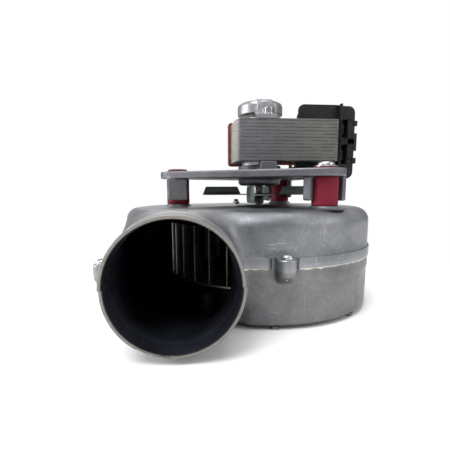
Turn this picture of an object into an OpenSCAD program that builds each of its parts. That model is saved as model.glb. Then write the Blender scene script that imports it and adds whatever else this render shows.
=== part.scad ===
// Centrifugal flue-gas exhaust blower with a C-frame shaded-pole motor.
// Millimetres, +Z up. The origin is on the shaft axis, at the underside of the scroll.
// The outlet points along -Y, and the shaft turns anticlockwise seen from above.

/* [Scroll housing] */
// Height of the split between the two scroll halves
seam_z = 31.4; // [30.5:0.1:32]
// Height of the roof of the scroll
roof_z = 60; // [59.5:0.1:61]
// Thickness of the cast walls
wall = 2.3; // [1.8:0.1:2.6]
// Radius of the outer wall beside the outlet, where the scroll is narrowest
scroll_r = 66.3; // [65.5:0.1:68]
// How far the wall radius grows in the first 100 degrees
scroll_growth = 4.8; // [4.2:0.1:5]
// Exponent of that growth
scroll_power = 1.45; // [1.3:0.01:1.5]
// Radius of the rounded shoulder under the roof
shoulder_r = 8; // [6:0.5:9]
// Radius of the rounded edge round the underside
sole_r = 3; // [2.5:0.5:4]
// Diameter of the inlet hole
inlet_d = 76; // [70:1:80]
// Height of the inlet bell inside the scroll
bell_h = 13; // [10:1:14]

/* [Outlet] */
// Outside diameter of the outlet spigot
outlet_od = 60; // [59:0.1:60.5]
// Bore of the outlet spigot
outlet_id = 56.5; // [55:0.1:57]
// Distance of the outlet's axis from the shaft axis, along X
outlet_x = -54.8; // [-56:0.1:-54]
// Distance of the outlet's mouth from the shaft axis, along Y
outlet_y = -99.4; // [-105:0.1:-95]

/* [Seam lugs] */
// Angles of the lugs round the seam
lug_angles = [-90, 28, 88, 148];
// Place of the lug on the outlet duct, along Y
side_lug_y = -71; // [-74:1:-64]
// Radius of a lug
lug_r = 4.6; // [4.2:0.1:5]
// Height of a lug above the seam
lug_up = 5.6; // [5.6:0.1:6]
// Depth of a lug below the seam
lug_down = 4.9; // [4:0.1:6]

/* [Impeller] */
// Outside diameter of the impeller
wheel_d = 119; // [114:1:120]
// Height of the lower ring of the impeller
wheel_z = 18; // [17:0.5:20]
// Height of the back plate of the impeller
plate_z = 51; // [49:0.5:52]
// Number of blades
blade_count = 33; // [28:1:36]
// Radial depth of a blade
blade_depth = 9.5; // [8:0.5:11]
// Thickness of the sheet metal
sheet = 0.8; // [0.6:0.1:1]

/* [Bracket and isolators] */
// Distance of the isolators from the shaft axis
mount_r = 53.9; // [52:0.1:55]
// Angles of the three isolators
mount_angles = [61, 181, 301];
// Diameter of an isolator
isolator_d = 14.6; // [13:0.1:15]
// Height of the seats that the isolators stand on
seat_z = 62; // [61.5:0.1:62.5]
// Height of the underside of the bracket
bracket_z = 78.1; // [77:0.1:79]
// Thickness of the bracket
bracket_t = 4.4; // [4:0.1:5]
// Radius of the bracket round each isolator
lobe_r = 11; // [10:0.1:12]

/* [Motor] */
// Height of the underside of the lamination stack
stack_z = 88.5; // [88:0.1:89]
// Thickness of the lamination stack
stack_t = 25; // [24:0.5:26]
// Half the width of the lamination stack
stack_y = 20.7; // [20:0.1:21]
// Left end of the lamination stack
stack_x0 = -18; // [-19:0.5:-18]
// Right end of the lamination stack
stack_x1 = 45.8; // [45:0.1:46]
// Bore of the lamination stack
stator_bore = 26; // [25.6:0.1:26.4]
// Air gap between the rotor and the stack
air_gap = 0.35; // [0.3:0.05:0.5]
// Diameter of the shaft
shaft_d = 5; // [4.8:0.1:5]
// Height of the top of the bearing dome
dome_z = 126.8; // [126.4:0.1:128]
// Diameter of the bearing dome and of the boss under the bracket
dome_d = 28.8; // [28:0.1:30]

/* [Cooling fan] */
// Height of the fan's plate
fan_z = 67.7; // [67:0.1:68]
// Radius of the tips of the fan's arms
fan_r = 37.5; // [34:0.5:39]
// Distance of each paddle from the line of its arm
paddle_offset = 10.5; // [9:0.5:11]
// Height of a paddle
paddle_h = 5.6; // [5:0.1:5.8]
// Depth of the two paddles that also hang below the plate
paddle_drop = 4.6; // [3:0.1:4.8]

/* [Hidden] */
$fn = 64;
eps = 0.01;
slip = 0.05;

cast_grey = "darkgray";
steel_grey = "silver";
dark_steel = "dimgray";
silicone_red = "firebrick";
plastic_black = [0.12, 0.12, 0.13];
copper = [0.72, 0.35, 0.18];

// Scroll
tail_angle = 180;
angle_step = 6;
slices = 7;
slice_lap = 0.6;
neck_y0 = -84;
collar_l = 2;
collar_h = 1;
valley_r = 7;
band_h = 5.5;
band_proud = 1;
lower_band_h = 8;
lower_band_proud = 0.5;
cavity_step = 4;
outlet_step_y = outlet_y + 12;
duct_d = outlet_id - 3;
roof_hole_d = 12;
seat_d = 17;
seat_boss_h = 5.5;
lug_screw_d = 3;
lug_reach = 4.6;
side_lug_gap = 1;
lug_head_d = 5.9;
lug_head_h = 2.3;
tap_r = 1.65;
tap_pcd = 106;
tap_depth = 10;
tap_boss_r = 4.3;
roof_boss_r = 5;
nub_r = 2.1;
nub_h = 2;
nub_inset = 3.2;
nub_angles = [-93, -47, -1, 45, 91, 137];
test_x = -9.4;
test_y = 45;
test_boss_h = 2.2;
test_boss_r = 2.6;
test_screw_r = 1;

// Impeller
blade_t = 0.5;
blade_curve_r = 9;
blade_lean = 24;
blade_phase = 2;
hub_d = 15;
hub_flange_d = 28;
hub_top_z = 56;
hub_low_z = 45;
rivet_pcd = 21.5;
nut_z = 41;
nut_d = 9.2;
rivet_r = 1.5;
rivet_head_r = 2.6;
rivet_head_h = 0.9;

// Bracket and isolators
neck_d = 10;
lip_d = 13.6;
lip_t = 0.8;
sleeve_d = 6.4;
mount_screw_d = 4;
mount_screw_reach = 5.5;
socket_head_d = 12;
socket_head_h = 0.9;
washer_d = 13;
washer_t = 0.8;
washer_head_d = 9.6;
washer_head_h = 2.2;
skirt_t = 3;
skirt_gap = 0.2;
skirt_z = 64.7;
bracket_top = bracket_z + bracket_t;
head_z = bracket_top + lip_t;
boss_z = 73.7;
boss_top = stack_z - 2;
post_y = 17.2;
post_x = 1.8;
arm_x = 0.4;
boss_bore = shaft_d + 4;
foot_inset = 3.5;

// Motor
stack_top = stack_z + stack_t;
window_x = 18;
bar_x0 = 30.5;
chamfer_x = 2.4;
chamfer_y = 8;
slot_r = 1.15;
ring_t = 1.5;
ring_gap = 0.2;
rotor_d = stator_bore - 2 * air_gap;
end_ring_t = 3;
dome_rim_z = 118;
foot_t = 2.5;
bridge_screw_d = 4;
hex_head_d = 7.3;
hex_head_h = 3.2;
hex_clear_d = 7.5;
bush_d = 12;
bush_h = 6;
felt_d = bush_d + 5.9;
felt_t = 1.6;
clip_t = 0.4;
washer_ring_d = 10;
low_bush_z = 76.2;
high_bush_z = 119;
coil_y = 11;
coil_x0 = 22.5;
coil_z0 = 78;
coil_z1 = 124;
spool_wall = 1.1;
flange_t = 1.6;
box_x0 = 48.6;
box_x1 = 59.2;
box_y = 13;
socket_z = [[103.8, 114.6], [87.3, 99.2]];
rib_z = [[111, 114.2], [95.6, 106.5], [87.6, 91.2]];
spade_z = [109.2, 93.2];
blade_size = [0.8, 13, 6.3];
tab_size = 8;
fan_sheet = 0.6;
fan_bush_z = 62.4;
fan_bush_d = 6.4;

function scroll_turn(a) = max(0, a + 100) / 100;
function scroll_radius(a) = scroll_r + scroll_growth * pow(scroll_turn(a), scroll_power);
function on_circle(r, a) = [r * cos(a), r * sin(a)];

scroll_left = scroll_radius(tail_angle);
outlet_r = outlet_od / 2;

// Centre of the fillet in the valley between the duct and the scroll.
valley_x = outlet_x + outlet_r + valley_r;
valley_y = -sqrt(pow(scroll_r + valley_r, 2) - valley_x * valley_x);
valley_angle = atan2(valley_y, valley_x);

// Blend between the scroll's section at t = 0 and the round spigot's section at t = 1.
function mix(t, from, to) = (1 - t) * from + t * to;
function duct_t(y) = y / neck_y0;

// How far the wall stands in, at a height h from the seam, where a section of half height
// top is rounded with radius r. The skin is 0 for the outside and the wall's thickness inside.
function inset(h, top, r, skin) =
    let (round_r = r - skin, over = min(h - (top - r), round_r * 0.99))
    skin + (over <= 0 ? 0 : round_r - sqrt(round_r * round_r - over * over));

// Outline of the scroll and its duct in plan, at a height h from the seam.
function scroll_outline(h, top, r, skin) = let (
    end = neck_y0 + skin / 2,
    body = inset(h, top, r, skin),
    duct = function (y) inset(h, mix(duct_t(y), top, outlet_r), mix(duct_t(y), r, outlet_r), skin),
    left = function (y) mix(duct_t(y), -scroll_left, outlet_x - outlet_r) + duct(y),
    right = function (y) outlet_x + outlet_r - duct(y),
    valley = function (t) valley_r + mix(t, duct(valley_y), body)
) concat(
    [for (a = [valley_angle : angle_step : tail_angle - 1]) on_circle(scroll_radius(a) - body, a)],
    [for (y = [0 : end / 4 : end]) [left(y), y]],
    [[right(end), end]],
    [for (t = [0 : 0.25 : 1]) [valley_x, valley_y] + on_circle(valley(t), mix(t, 180, valley_angle + 180))]);

// Heights of the slices that a half of the scroll is stacked from. The lowest slice is the band.
function slice_z(i, band, reach) = i == 0 ? 0 : mix(sin(90 * (i - 1) / (slices - 1)), band, reach);

// Half of the scroll, from the seam up to the height top, rounded with radius r.
// Its lowest slice stands proud of the rest.
module scroll_half(top, r, skin, band, proud) {
    reach = top - skin;
    for (i = [0 : slices - 1]) {
        low = slice_z(i, band, reach);
        high = slice_z(i + 1, band, reach);
        section = scroll_outline((low + high) / 2, top, r, i == 0 ? skin - proud : skin);
        foot = i == 0 ? 0 : low - slice_lap;
        translate([0, 0, foot]) linear_extrude(high - foot) polygon(section);
    }
}

module tube_along_y(d, y0, y1) {
    translate([outlet_x, y1, seam_z]) rotate([90, 0, 0]) cylinder(h = y1 - y0, d = d);
}

module upward() {
    translate([0, 0, seam_z]) children();
}

module downward() {
    translate([0, 0, seam_z]) mirror([0, 0, 1]) children();
}

module above(z) {
    translate([-150, -150, z]) cube([300, 300, 100]);
}

module below(z) {
    translate([-150, -150, z - 100]) cube([300, 300, 100]);
}

module at_lugs() {
    for (a = lug_angles) rotate(a) translate([scroll_radius(a) + lug_reach, 0, 0]) children();
    translate([outlet_x - outlet_r - lug_reach + side_lug_gap, side_lug_y, 0]) rotate(180) children();
}

// One lug: a round ear with a web back to the wall.
module lug(z0, z1) {
    translate([0, 0, z0]) cylinder(h = z1 - z0, r = lug_r, $fn = 48);
    translate([-lug_reach - wall / 2, -lug_r, z0]) cube([lug_reach + wall / 2, 2 * lug_r, z1 - z0]);
}

module scroll_lower_half() {
    color(cast_grey) difference() {
        union() {
            downward() scroll_half(seam_z, sole_r, 0, lower_band_h, lower_band_proud);
            intersection() {
                outlet_spigot();
                below(seam_z);
            }
            at_lugs() lug(seam_z - lug_down, seam_z);
            for (a = nub_angles) rotate(a) translate([scroll_radius(a) - nub_inset, 0, -nub_h]) {
                cylinder(h = nub_h + 1, r = nub_r, $fn = 32);
            }
        }
        downward() cavity(seam_z, sole_r);
        outlet_bore();
        translate([0, 0, -1]) cylinder(h = wall + 2, d = inlet_d + 8, $fn = 96);
        at_lugs() translate([0, 0, seam_z - lug_down - 1]) cylinder(h = lug_down + 2, d = lug_screw_d);
        at_tap_bosses() translate([0, 0, -1]) cylinder(h = wall + 2, r = tap_r);
    }
    color(cast_grey) inlet_bell();
    color(cast_grey) at_tap_bosses() difference() {
        translate([0, 0, wall - 0.5]) cylinder(h = tap_depth - wall + 2.5, r = tap_boss_r, $fn = 48);
        translate([0, 0, -1]) cylinder(h = tap_depth + 1, r = tap_r);
    }
}

// Round spigot with a collar behind it, where a flue pipe pushed over it stops.
module outlet_spigot() {
    tube_along_y(outlet_od, outlet_y, neck_y0 + 1);
    tube_along_y(outlet_od + 2 * collar_h, neck_y0 - collar_l, neck_y0 + 0.5);
}

// Bore of the spigot, with a small step behind the mouth.
module outlet_bore() {
    tube_along_y(outlet_id, outlet_y - 1, outlet_step_y);
    tube_along_y(duct_d, outlet_step_y - 1, neck_y0 + 2);
}

// Inside of one half of the scroll, run just past the seam.
module cavity(top, r) {
    scroll_half(top, r, wall, cavity_step, 0);
    translate([0, 0, -eps]) linear_extrude(1) polygon(scroll_outline(0, top, r, wall));
}

module at_tap_bosses() {
    for (a = [45 : 90 : 315]) rotate(a) translate([tap_pcd / 2, 0, 0]) children();
}

// Flared lip that leads the flue gas up into the wheel.
module inlet_bell() {
    lip = 2;
    flare = 5;
    difference() {
        union() {
            cylinder(h = bell_h, d = inlet_d + 2 * lip, $fn = 96);
            cylinder(h = wall, d = inlet_d + 8 + 2 * eps, $fn = 96);
        }
        translate([0, 0, -1]) cylinder(h = bell_h + 2, d = inlet_d, $fn = 96);
        translate([0, 0, -eps]) cylinder(h = flare / 2, d1 = inlet_d + 2 * lip, d2 = inlet_d, $fn = 96);
    }
}

// The upper half's outside, with its lugs and the seats for the isolators.
module upper_body() {
    upward() scroll_half(roof_z - seam_z, shoulder_r, 0, band_h, band_proud);
    intersection() {
        outlet_spigot();
        above(seam_z);
    }
    at_lugs() lug(seam_z, seam_z + lug_up);
    at_mounts() translate([0, 0, roof_z - 1]) cylinder(h = seat_z - roof_z + 1, d = seat_d);
    translate([test_x, test_y, roof_z - 1]) cylinder(h = test_boss_h + 1, r = test_boss_r, $fn = 32);
}

module scroll_upper_half() {
    color(cast_grey) difference() {
        union() {
            difference() {
                upper_body();
                upward() cavity(roof_z - seam_z, shoulder_r);
                intersection() {
                    outlet_bore();
                    above(seam_z - eps);
                }
            }
            at_mounts() translate([0, 0, roof_z - seat_boss_h]) {
                cylinder(h = seat_boss_h - 1, r = roof_boss_r, $fn = 48);
            }
        }
        translate([0, 0, roof_z - wall - 1]) cylinder(h = wall + 2, d = roof_hole_d);
        at_lugs() translate([0, 0, seam_z - 1]) cylinder(h = lug_up + 2, d = lug_screw_d + 2 * slip);
        at_mounts() translate([0, 0, roof_z - seat_boss_h - 1]) cylinder(h = 10, d = mount_screw_d);
        translate([test_x, test_y, roof_z - wall - 1]) cylinder(h = wall + test_boss_h + 2, r = test_screw_r);
    }
}

module pan_head(d, h) {
    difference() {
        rotate_extrude($fn = 48) polygon(concat([[0, 0], [d / 2, 0]],
            [for (a = [0 : 15 : 90]) [d / 2 - h / 2 + h / 2 * cos(a), h / 2 + h / 2 * sin(a)]], [[0, h]]));
        for (a = [0, 90]) rotate(a) translate([-d / 4, -d / 16, h * 0.45]) cube([d / 2, d / 8, h]);
    }
}

module scroll_screws() {
    color(steel_grey) at_lugs() {
        translate([0, 0, seam_z + lug_up]) pan_head(lug_head_d, lug_head_h);
        translate([0, 0, seam_z - lug_down + 0.4]) {
            cylinder(h = lug_down + lug_up, d = lug_screw_d, $fn = 32);
        }
    }
}

module test_point_screw() {
    color(dark_steel) translate([test_x, test_y, roof_z + test_boss_h]) {
        translate([0, 0, -5]) cylinder(h = 6, r = test_screw_r, $fn = 32);
        pan_head(3.6, 1.9);
    }
}

module at_mounts() {
    for (a = mount_angles) rotate(a) translate([mount_r, 0, 0]) children();
}

// Half profile of one rubber isolator: body, neck through the bracket, and top lip.
function isolator_profile() = let (r = isolator_d / 2, c = 0.8) [
    [sleeve_d / 2, seat_z], [r - c, seat_z], [r, seat_z + c], [r, bracket_z - c / 2], [r - c / 2, bracket_z],
    [neck_d / 2, bracket_z], [neck_d / 2, bracket_top], [lip_d / 2, bracket_top],
    [lip_d / 2, head_z], [sleeve_d / 2, head_z]];

module isolators() {
    color(silicone_red) at_mounts() rotate_extrude() polygon(isolator_profile());
}

module isolator_sleeves() {
    color(steel_grey) at_mounts() difference() {
        translate([0, 0, seat_z]) cylinder(h = head_z - seat_z, d = sleeve_d);
        translate([0, 0, seat_z - 1]) cylinder(h = head_z - seat_z + 2, d = mount_screw_d + 0.4);
    }
}

// Shank of an isolator's screw, down into the roof.
module mount_shank() {
    translate([0, 0, roof_z - mount_screw_reach]) {
        cylinder(h = head_z - roof_z + mount_screw_reach + washer_t / 2, d = mount_screw_d);
    }
}

module isolator_screws() {
    color(dark_steel) for (a = [mount_angles[0], mount_angles[1]]) rotate(a) translate([mount_r, 0, 0]) {
        mount_shank();
        translate([0, 0, head_z]) flat_head(socket_head_d, socket_head_h);
    }
}

module washer_head_screw() {
    color(steel_grey) rotate(mount_angles[2]) translate([mount_r, 0, 0]) {
        mount_shank();
        translate([0, 0, head_z]) cylinder(h = washer_t, d = washer_d);
        translate([0, 0, head_z + washer_t]) pan_head(washer_head_d, washer_head_h);
    }
}

// Low head with a hexagon socket.
module flat_head(d, h) {
    difference() {
        cylinder(h = h, d = d);
        translate([0, 0, h * 0.3]) cylinder(h = h, d = 4, $fn = 6);
    }
}

// One skirt wall beside an isolator, from radial place u0 to u1.
module skirt(side, u0, u1) {
    y = side > 0 ? isolator_d / 2 + skirt_gap : -isolator_d / 2 - skirt_gap - skirt_t;
    translate([u0, y, skirt_z]) cube([u1 - u0, skirt_t, bracket_z - skirt_z + 1]);
}

module bracket_post(side) {
    half_top = 4.7;
    half_low = 5.8;
    height = stack_z - bracket_top;
    translate([post_x, side * post_y + 3.5, bracket_top]) rotate([90, 0, 0]) linear_extrude(7) {
        polygon([[-half_low, -1], [half_low, -1], [half_low, 0], [half_top, height],
            [-half_top, height], [-half_low, 0]]);
    }
}

// Three-cornered plate with a round lobe at each isolator.
module bracket_plan() {
    polygon([for (a = mount_angles, turn = [-60 : 10 : 60])
        on_circle(mount_r, a) + on_circle(lobe_r, a + turn)]);
}

module motor_bracket() {
    color(cast_grey) difference() {
        union() {
            translate([0, 0, bracket_z]) linear_extrude(bracket_t) bracket_plan();
            at_mounts() {
                skirt(1, -5.7, 6.5);
                skirt(-1, -7, -1.6);
            }
            translate([0, 0, boss_z]) cylinder(h = boss_top - boss_z, d = dome_d - 0.8);
            bracket_post(1);
            bracket_post(-1);
        }
        bracket_windows();
        at_mounts() translate([0, 0, bracket_z - 1]) cylinder(h = bracket_t + 2, d = neck_d);
        translate([0, 0, low_bush_z]) cylinder(h = 20, d = bush_d);
        translate([0, 0, low_bush_z + bush_h]) cylinder(h = 20, d = bush_d + 6);
        translate([0, 0, boss_z - 1]) cylinder(h = 20, d = boss_bore);
        translate([0, 0, boss_top - 1.1]) cylinder(h = 20, d = rotor_d - 0.7);
        for (s = [-1, 1]) translate([post_x, s * post_y, bracket_z - 1]) {
            cylinder(h = 20, d = bridge_screw_d + 2 * slip);
        }
    }
}

// Room for the coil's lower end, which hangs below the bracket's top.
module bracket_windows() {
    translate([coil_x0 - 2.5, -coil_y - 3, bracket_z - 1]) cube([60, 2 * coil_y + 6, bracket_t + 2]);
}

// Self-aligning bush with a barrel-shaped outside.
module bush(z) {
    translate([0, 0, z]) difference() {
        cylinder(h = bush_h, d = bush_d);
        translate([0, 0, -1]) cylinder(h = bush_h + 2, d = shaft_d + 2 * slip);
    }
}

module lower_bearing() {
    color("darkgoldenrod") bush(low_bush_z);
}

module upper_bearing() {
    color("darkgoldenrod") bush(high_bush_z);
}

module ring(z, h, d_out, d_in) {
    translate([0, 0, z]) difference() {
        cylinder(h = h, d = d_out);
        translate([0, 0, -1]) cylinder(h = h + 2, d = d_in);
    }
}

module oil_felts() {
    color("wheat") {
        ring(low_bush_z + bush_h, felt_t, felt_d, shaft_d + 1.4);
        ring(high_bush_z - felt_t, felt_t, felt_d, shaft_d + 1.4);
    }
}

module bearing_clips() {
    color(dark_steel) {
        ring(low_bush_z + bush_h + felt_t, clip_t, felt_d, shaft_d + 3);
        ring(high_bush_z - felt_t - clip_t, clip_t, felt_d, shaft_d + 3);
    }
}

// Arm from the dome down to its foot on the stack.
module bridge_arm(side) {
    rise = dome_z - 0.8 - stack_top;
    near = dome_d / 2 - 4;
    far = 24.2;
    width = 11.8;
    translate([arm_x - width / 2, 0, stack_top]) rotate([90, 0, 90]) linear_extrude(width) {
        polygon([for (q = [[near, 5], [near, rise], [near + 2, rise], [post_y - 4.2, 9], [post_y - 3.8, foot_t],
            [far - foot_inset, foot_t], [far - foot_inset, 0], [post_y - 4.6, 0], [post_y - 5.2, 5]])
            [side * q[0], q[1]]]);
    }
}

module upper_bearing_bridge() {
    round_r = 3.5;
    color(cast_grey) difference() {
        union() {
            rotate_extrude() polygon(concat([[0, dome_rim_z], [dome_d / 2, dome_rim_z]],
                [for (a = [0 : 15 : 90]) [dome_d / 2 - round_r + round_r * cos(a),
                    dome_z - round_r + round_r * sin(a)]], [[0, dome_z]]));
            bridge_arm(1);
            bridge_arm(-1);
        }
        translate([0, 0, high_bush_z - 20]) cylinder(h = 20 + bush_h, d = bush_d);
        translate([0, 0, high_bush_z - 20]) cylinder(h = 20, d = bush_d + 6);
        for (s = [-1, 1]) translate([post_x, s * post_y, 0]) {
            translate([0, 0, stack_top - 1]) cylinder(h = 20, d = bridge_screw_d + 0.3);
            translate([0, 0, stack_top + foot_t]) cylinder(h = hex_head_h + 1, d = hex_clear_d);
        }
    }
}

module bridge_screws() {
    color(steel_grey) for (s = [-1, 1]) translate([post_x, s * post_y, 0]) {
        translate([0, 0, bracket_z + 0.5]) {
            cylinder(h = stack_top + foot_t - bracket_z, d = bridge_screw_d, $fn = 48);
        }
        translate([0, 0, stack_top + foot_t]) cylinder(h = hex_head_h, d = hex_head_d, $fn = 6);
    }
}

module frame_plan() {
    y = stack_y;
    c = chamfer_x;
    polygon([[stack_x0 + c, -y], [stack_x1, -y], [stack_x1, -coil_y], [window_x, -coil_y],
        [window_x, coil_y], [stack_x1, coil_y], [stack_x1, y], [stack_x0 + c, y],
        [stack_x0, y - chamfer_y], [stack_x0, chamfer_y - y]]);
}

// Places of the shading rings' inner legs, beside the bore of the rear pole.
inner_legs = [[-11.9, 8.6], [-7.6, 12.6]];
outer_legs_y = [7.4, 9.7];

module stator_stack() {
    color("gray") difference() {
        translate([0, 0, stack_z]) linear_extrude(stack_t) frame_plan();
        translate([0, 0, stack_z - 1]) cylinder(h = stack_t + 2, d = stator_bore, $fn = 96);
        for (s = [-1, 1]) translate([post_x, s * post_y, stack_z - 1]) {
            cylinder(h = stack_t + 2, d = bridge_screw_d + 0.3);
        }
        for (turn = [0, 180], leg = inner_legs) rotate(turn) translate([leg[0], leg[1], stack_z - 1]) {
            cylinder(h = stack_t + 2, r = slot_r, $fn = 32);
        }
    }
}

module coil_core_bar() {
    color("gray") translate([bar_x0, -coil_y, stack_z]) cube([stack_x1 - bar_x0, 2 * coil_y, stack_t]);
}

// A closed loop of square copper bar round the stack, with upright legs at a and b.
module shading_loop(a, b) {
    run = b - a;
    reach = norm(run) / 2 + ring_t / 2;
    translate([(a[0] + b[0]) / 2, (a[1] + b[1]) / 2, 0]) rotate(atan2(run[1], run[0])) difference() {
        translate([-reach, -ring_t / 2, stack_z - ring_gap - ring_t]) {
            cube([2 * reach, ring_t, stack_t + 2 * ring_gap + 2 * ring_t]);
        }
        translate([ring_t - reach, -ring_t, stack_z - ring_gap]) {
            cube([2 * reach - 2 * ring_t, 2 * ring_t, stack_t + 2 * ring_gap]);
        }
    }
}

module shading_rings() {
    outer_x = stack_x0 - ring_t * 0.75;
    color(copper) for (turn = [0, 180], i = [0, 1]) rotate(turn) {
        shading_loop([outer_x, outer_legs_y[i]], inner_legs[i]);
    }
}

// A box with rounded corners, seen along Y.
module rounded_plate(x0, x1, z0, z1, y0, y1, r) {
    translate([0, y0, 0]) cube_xz(x0 + r, x1 - r, z0, z1, y1 - y0);
    translate([0, y0, 0]) cube_xz(x0, x1, z0 + r, z1 - r, y1 - y0);
    for (x = [x0 + r, x1 - r], z = [z0 + r, z1 - r]) translate([x, y1, z]) {
        rotate([90, 0, 0]) cylinder(h = y1 - y0, r = r, $fn = 32);
    }
}

module cube_xz(x0, x1, z0, z1, depth) {
    translate([x0, 0, z0]) cube([x1 - x0, depth, z1 - z0]);
}

module core_space(gap, y_half) {
    translate([bar_x0 - gap, -y_half, stack_z - gap]) {
        cube([stack_x1 - bar_x0 + 2 * gap, 2 * y_half, stack_t + 2 * gap]);
    }
}

module coil_bobbin() {
    color(plastic_black) difference() {
        union() {
            core_space(spool_wall, coil_y - 0.1);
            for (y = [0.1 - coil_y, coil_y - 0.1 - flange_t]) {
                rounded_plate(coil_x0, box_x0, coil_z0, coil_z1, y, y + flange_t, 3.5);
                translate([box_x0 - 8, y, coil_z0]) cube([8, flange_t, coil_z1 - coil_z0]);
            }
        }
        core_space(0, coil_y + 1);
    }
}

module coil_winding() {
    half = coil_y - 0.2 - flange_t;
    color(copper) difference() {
        rounded_plate(coil_x0 + 1.5, box_x0 - 0.1 + 3.5, coil_z0 + 1.5, coil_z1 - 1.5, -half, half, 4);
        core_space(spool_wall, coil_y + 1);
        translate([box_x0 - 0.05, -20, coil_z0 - 1]) cube([20, 40, 60]);
    }
}

// Connector box on the coil's right side, with two sockets and a ribbed edge.
module terminal_housing() {
    color(plastic_black) difference() {
        union() {
            rounded_plate(box_x0, box_x1, coil_z0, coil_z1, -box_y, coil_y - 0.1, 3.2);
            translate([box_x0, -box_y, coil_z0]) cube([5, box_y + coil_y - 0.1, coil_z1 - coil_z0]);
            translate([box_x0, -box_y - 1, stack_top + 0.4]) cube([1.6, 3, coil_z1 - stack_top]);
            for (r = rib_z) translate([box_x1 - 1, -box_y, r[0]]) cube([2.5, 12, r[1] - r[0]]);
        }
        core_space(spool_wall + 0.1, coil_y + 4);
        for (s = socket_z) translate([box_x0 + 1.6, -box_y - 1, s[0]]) cube([4.6, 17, s[1] - s[0]]);
    }
}

module spade_terminals() {
    half = blade_size[2] / 2;
    color("goldenrod") for (z = spade_z) translate([box_x0 + 3.5, -box_y + 3, z - half]) {
        difference() {
            cube(blade_size);
            translate([-1, 3, half]) rotate([0, 90, 0]) cylinder(h = 3, r = 0.8, $fn = 32);
        }
    }
}

// Earth blade, riveted to the bracket's rear arm.
module earth_tab() {
    color("goldenrod") translate([27, 27, bracket_top]) difference() {
        union() {
            cube([tab_size, tab_size, blade_size[0]]);
            translate([(tab_size - blade_size[2]) / 2, 0, 0]) cube([blade_size[2], blade_size[0], tab_size + 1]);
        }
        translate([4, 5, -1]) cylinder(h = 3, r = 1.2, $fn = 32);
        translate([4, 2, 6]) rotate([90, 0, 0]) cylinder(h = 3, r = 0.8, $fn = 32);
    }
}

module shaft() {
    color(steel_grey) translate([0, 0, nut_z - 1]) cylinder(h = high_bush_z + bush_h - nut_z + 0.5, d = shaft_d);
}

module rotor_core() {
    color("dimgray") ring(stack_z + 0.5, stack_t - 1, rotor_d, shaft_d);
}

module rotor_end_rings() {
    color("lightgray") {
        ring(stack_z + 0.5 - end_ring_t, end_ring_t, rotor_d - 2, 15);
        ring(stack_top - 0.5, end_ring_t, rotor_d - 2, 15);
    }
}

module thrust_washers() {
    color("seagreen") {
        ring(stack_z - 1.2, 1.7, washer_ring_d, shaft_d);
        ring(stack_top - 0.5, 2.4, washer_ring_d, shaft_d);
    }
}

module shaft_clips() {
    color(dark_steel) ring(boss_z - 1, 0.6, 9, shaft_d);
}

// One arm of the cooling fan, pointing along +X, with its paddle on the -Y side.
// The paddle stands up from the plate, and also hangs below it where drop is above 0.
module fan_arm(drop) {
    inner = dome_d / 2 - 1.2;
    slant = 2.4;
    translate([0, -paddle_offset, fan_z]) cube([fan_r, paddle_offset + 2, fan_sheet]);
    translate([0, fan_sheet - paddle_offset, fan_z]) rotate([90, 0, 0]) linear_extrude(fan_sheet) {
        polygon([[inner - slant, 0], [fan_r, 0], [fan_r - slant, paddle_h], [inner, paddle_h]]);
        if (drop > 0) {
            polygon([[inner - slant, fan_sheet], [fan_r, fan_sheet], [fan_r - slant, -drop], [inner, -drop]]);
        }
    }
}

module cooling_fan() {
    color("lightslategray") difference() {
        union() {
            for (a = [0, 180]) rotate(a) fan_arm(0);
            for (a = [90, 270]) rotate(a) fan_arm(paddle_drop);
            translate([0, 0, fan_z]) cylinder(h = fan_sheet, r = paddle_offset + 2);
        }
        translate([0, 0, fan_z - 1]) cylinder(h = 3, d = shaft_d);
    }
}

module cooling_fan_bush() {
    color(dark_steel) ring(fan_bush_z, fan_z - fan_bush_z, fan_bush_d, shaft_d);
}

module impeller_hub() {
    color(steel_grey) difference() {
        union() {
            translate([0, 0, hub_low_z]) cylinder(h = hub_top_z - hub_low_z, d = hub_d);
            translate([0, 0, plate_z - 2]) cylinder(h = 2, d = hub_flange_d);
        }
        translate([0, 0, hub_low_z - 1]) cylinder(h = 20, d = shaft_d);
        at_rivets() translate([0, 0, plate_z - 5]) cylinder(h = 6, r = rivet_r, $fn = 32);
    }
}

module at_rivets() {
    for (a = [30 : 60 : 330]) rotate(a) translate([rivet_pcd / 2, 0, 0]) children();
}

module impeller_back_plate() {
    color(steel_grey) difference() {
        translate([0, 0, plate_z]) cylinder(h = sheet, d = wheel_d, $fn = 96);
        translate([0, 0, plate_z - 1]) cylinder(h = 3, d = hub_d);
        at_rivets() translate([0, 0, plate_z - 1]) cylinder(h = 3, r = rivet_r, $fn = 32);
    }
}

module impeller_rivets() {
    color(steel_grey) at_rivets() {
        translate([0, 0, plate_z - 2]) cylinder(h = 2 + sheet, r = rivet_r, $fn = 32);
        translate([0, 0, plate_z + sheet]) cylinder(h = rivet_head_h, r = rivet_head_r, $fn = 32);
        translate([0, 0, plate_z - 2 - rivet_head_h]) cylinder(h = rivet_head_h, r = rivet_head_r, $fn = 32);
    }
}

// Section of one blade: a short arc, hollow towards the direction of rotation.
module blade_plan() {
    chord = blade_depth / cos(blade_lean);
    half = asin(chord / 2 / blade_curve_r);
    steps = 4;
    arc = [for (i = [-steps : steps]) i * half / steps];
    rotate(blade_lean) translate([-chord, -blade_curve_r * cos(half), 0]) {
        polygon(concat(
            [for (a = arc) [chord / 2 + blade_curve_r * sin(a), blade_curve_r * cos(a)]],
            [for (i = [2 * steps : -1 : 0])
                [chord / 2 + (blade_curve_r - blade_t) * sin(arc[i]), (blade_curve_r - blade_t) * cos(arc[i])]]));
    }
}

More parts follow.
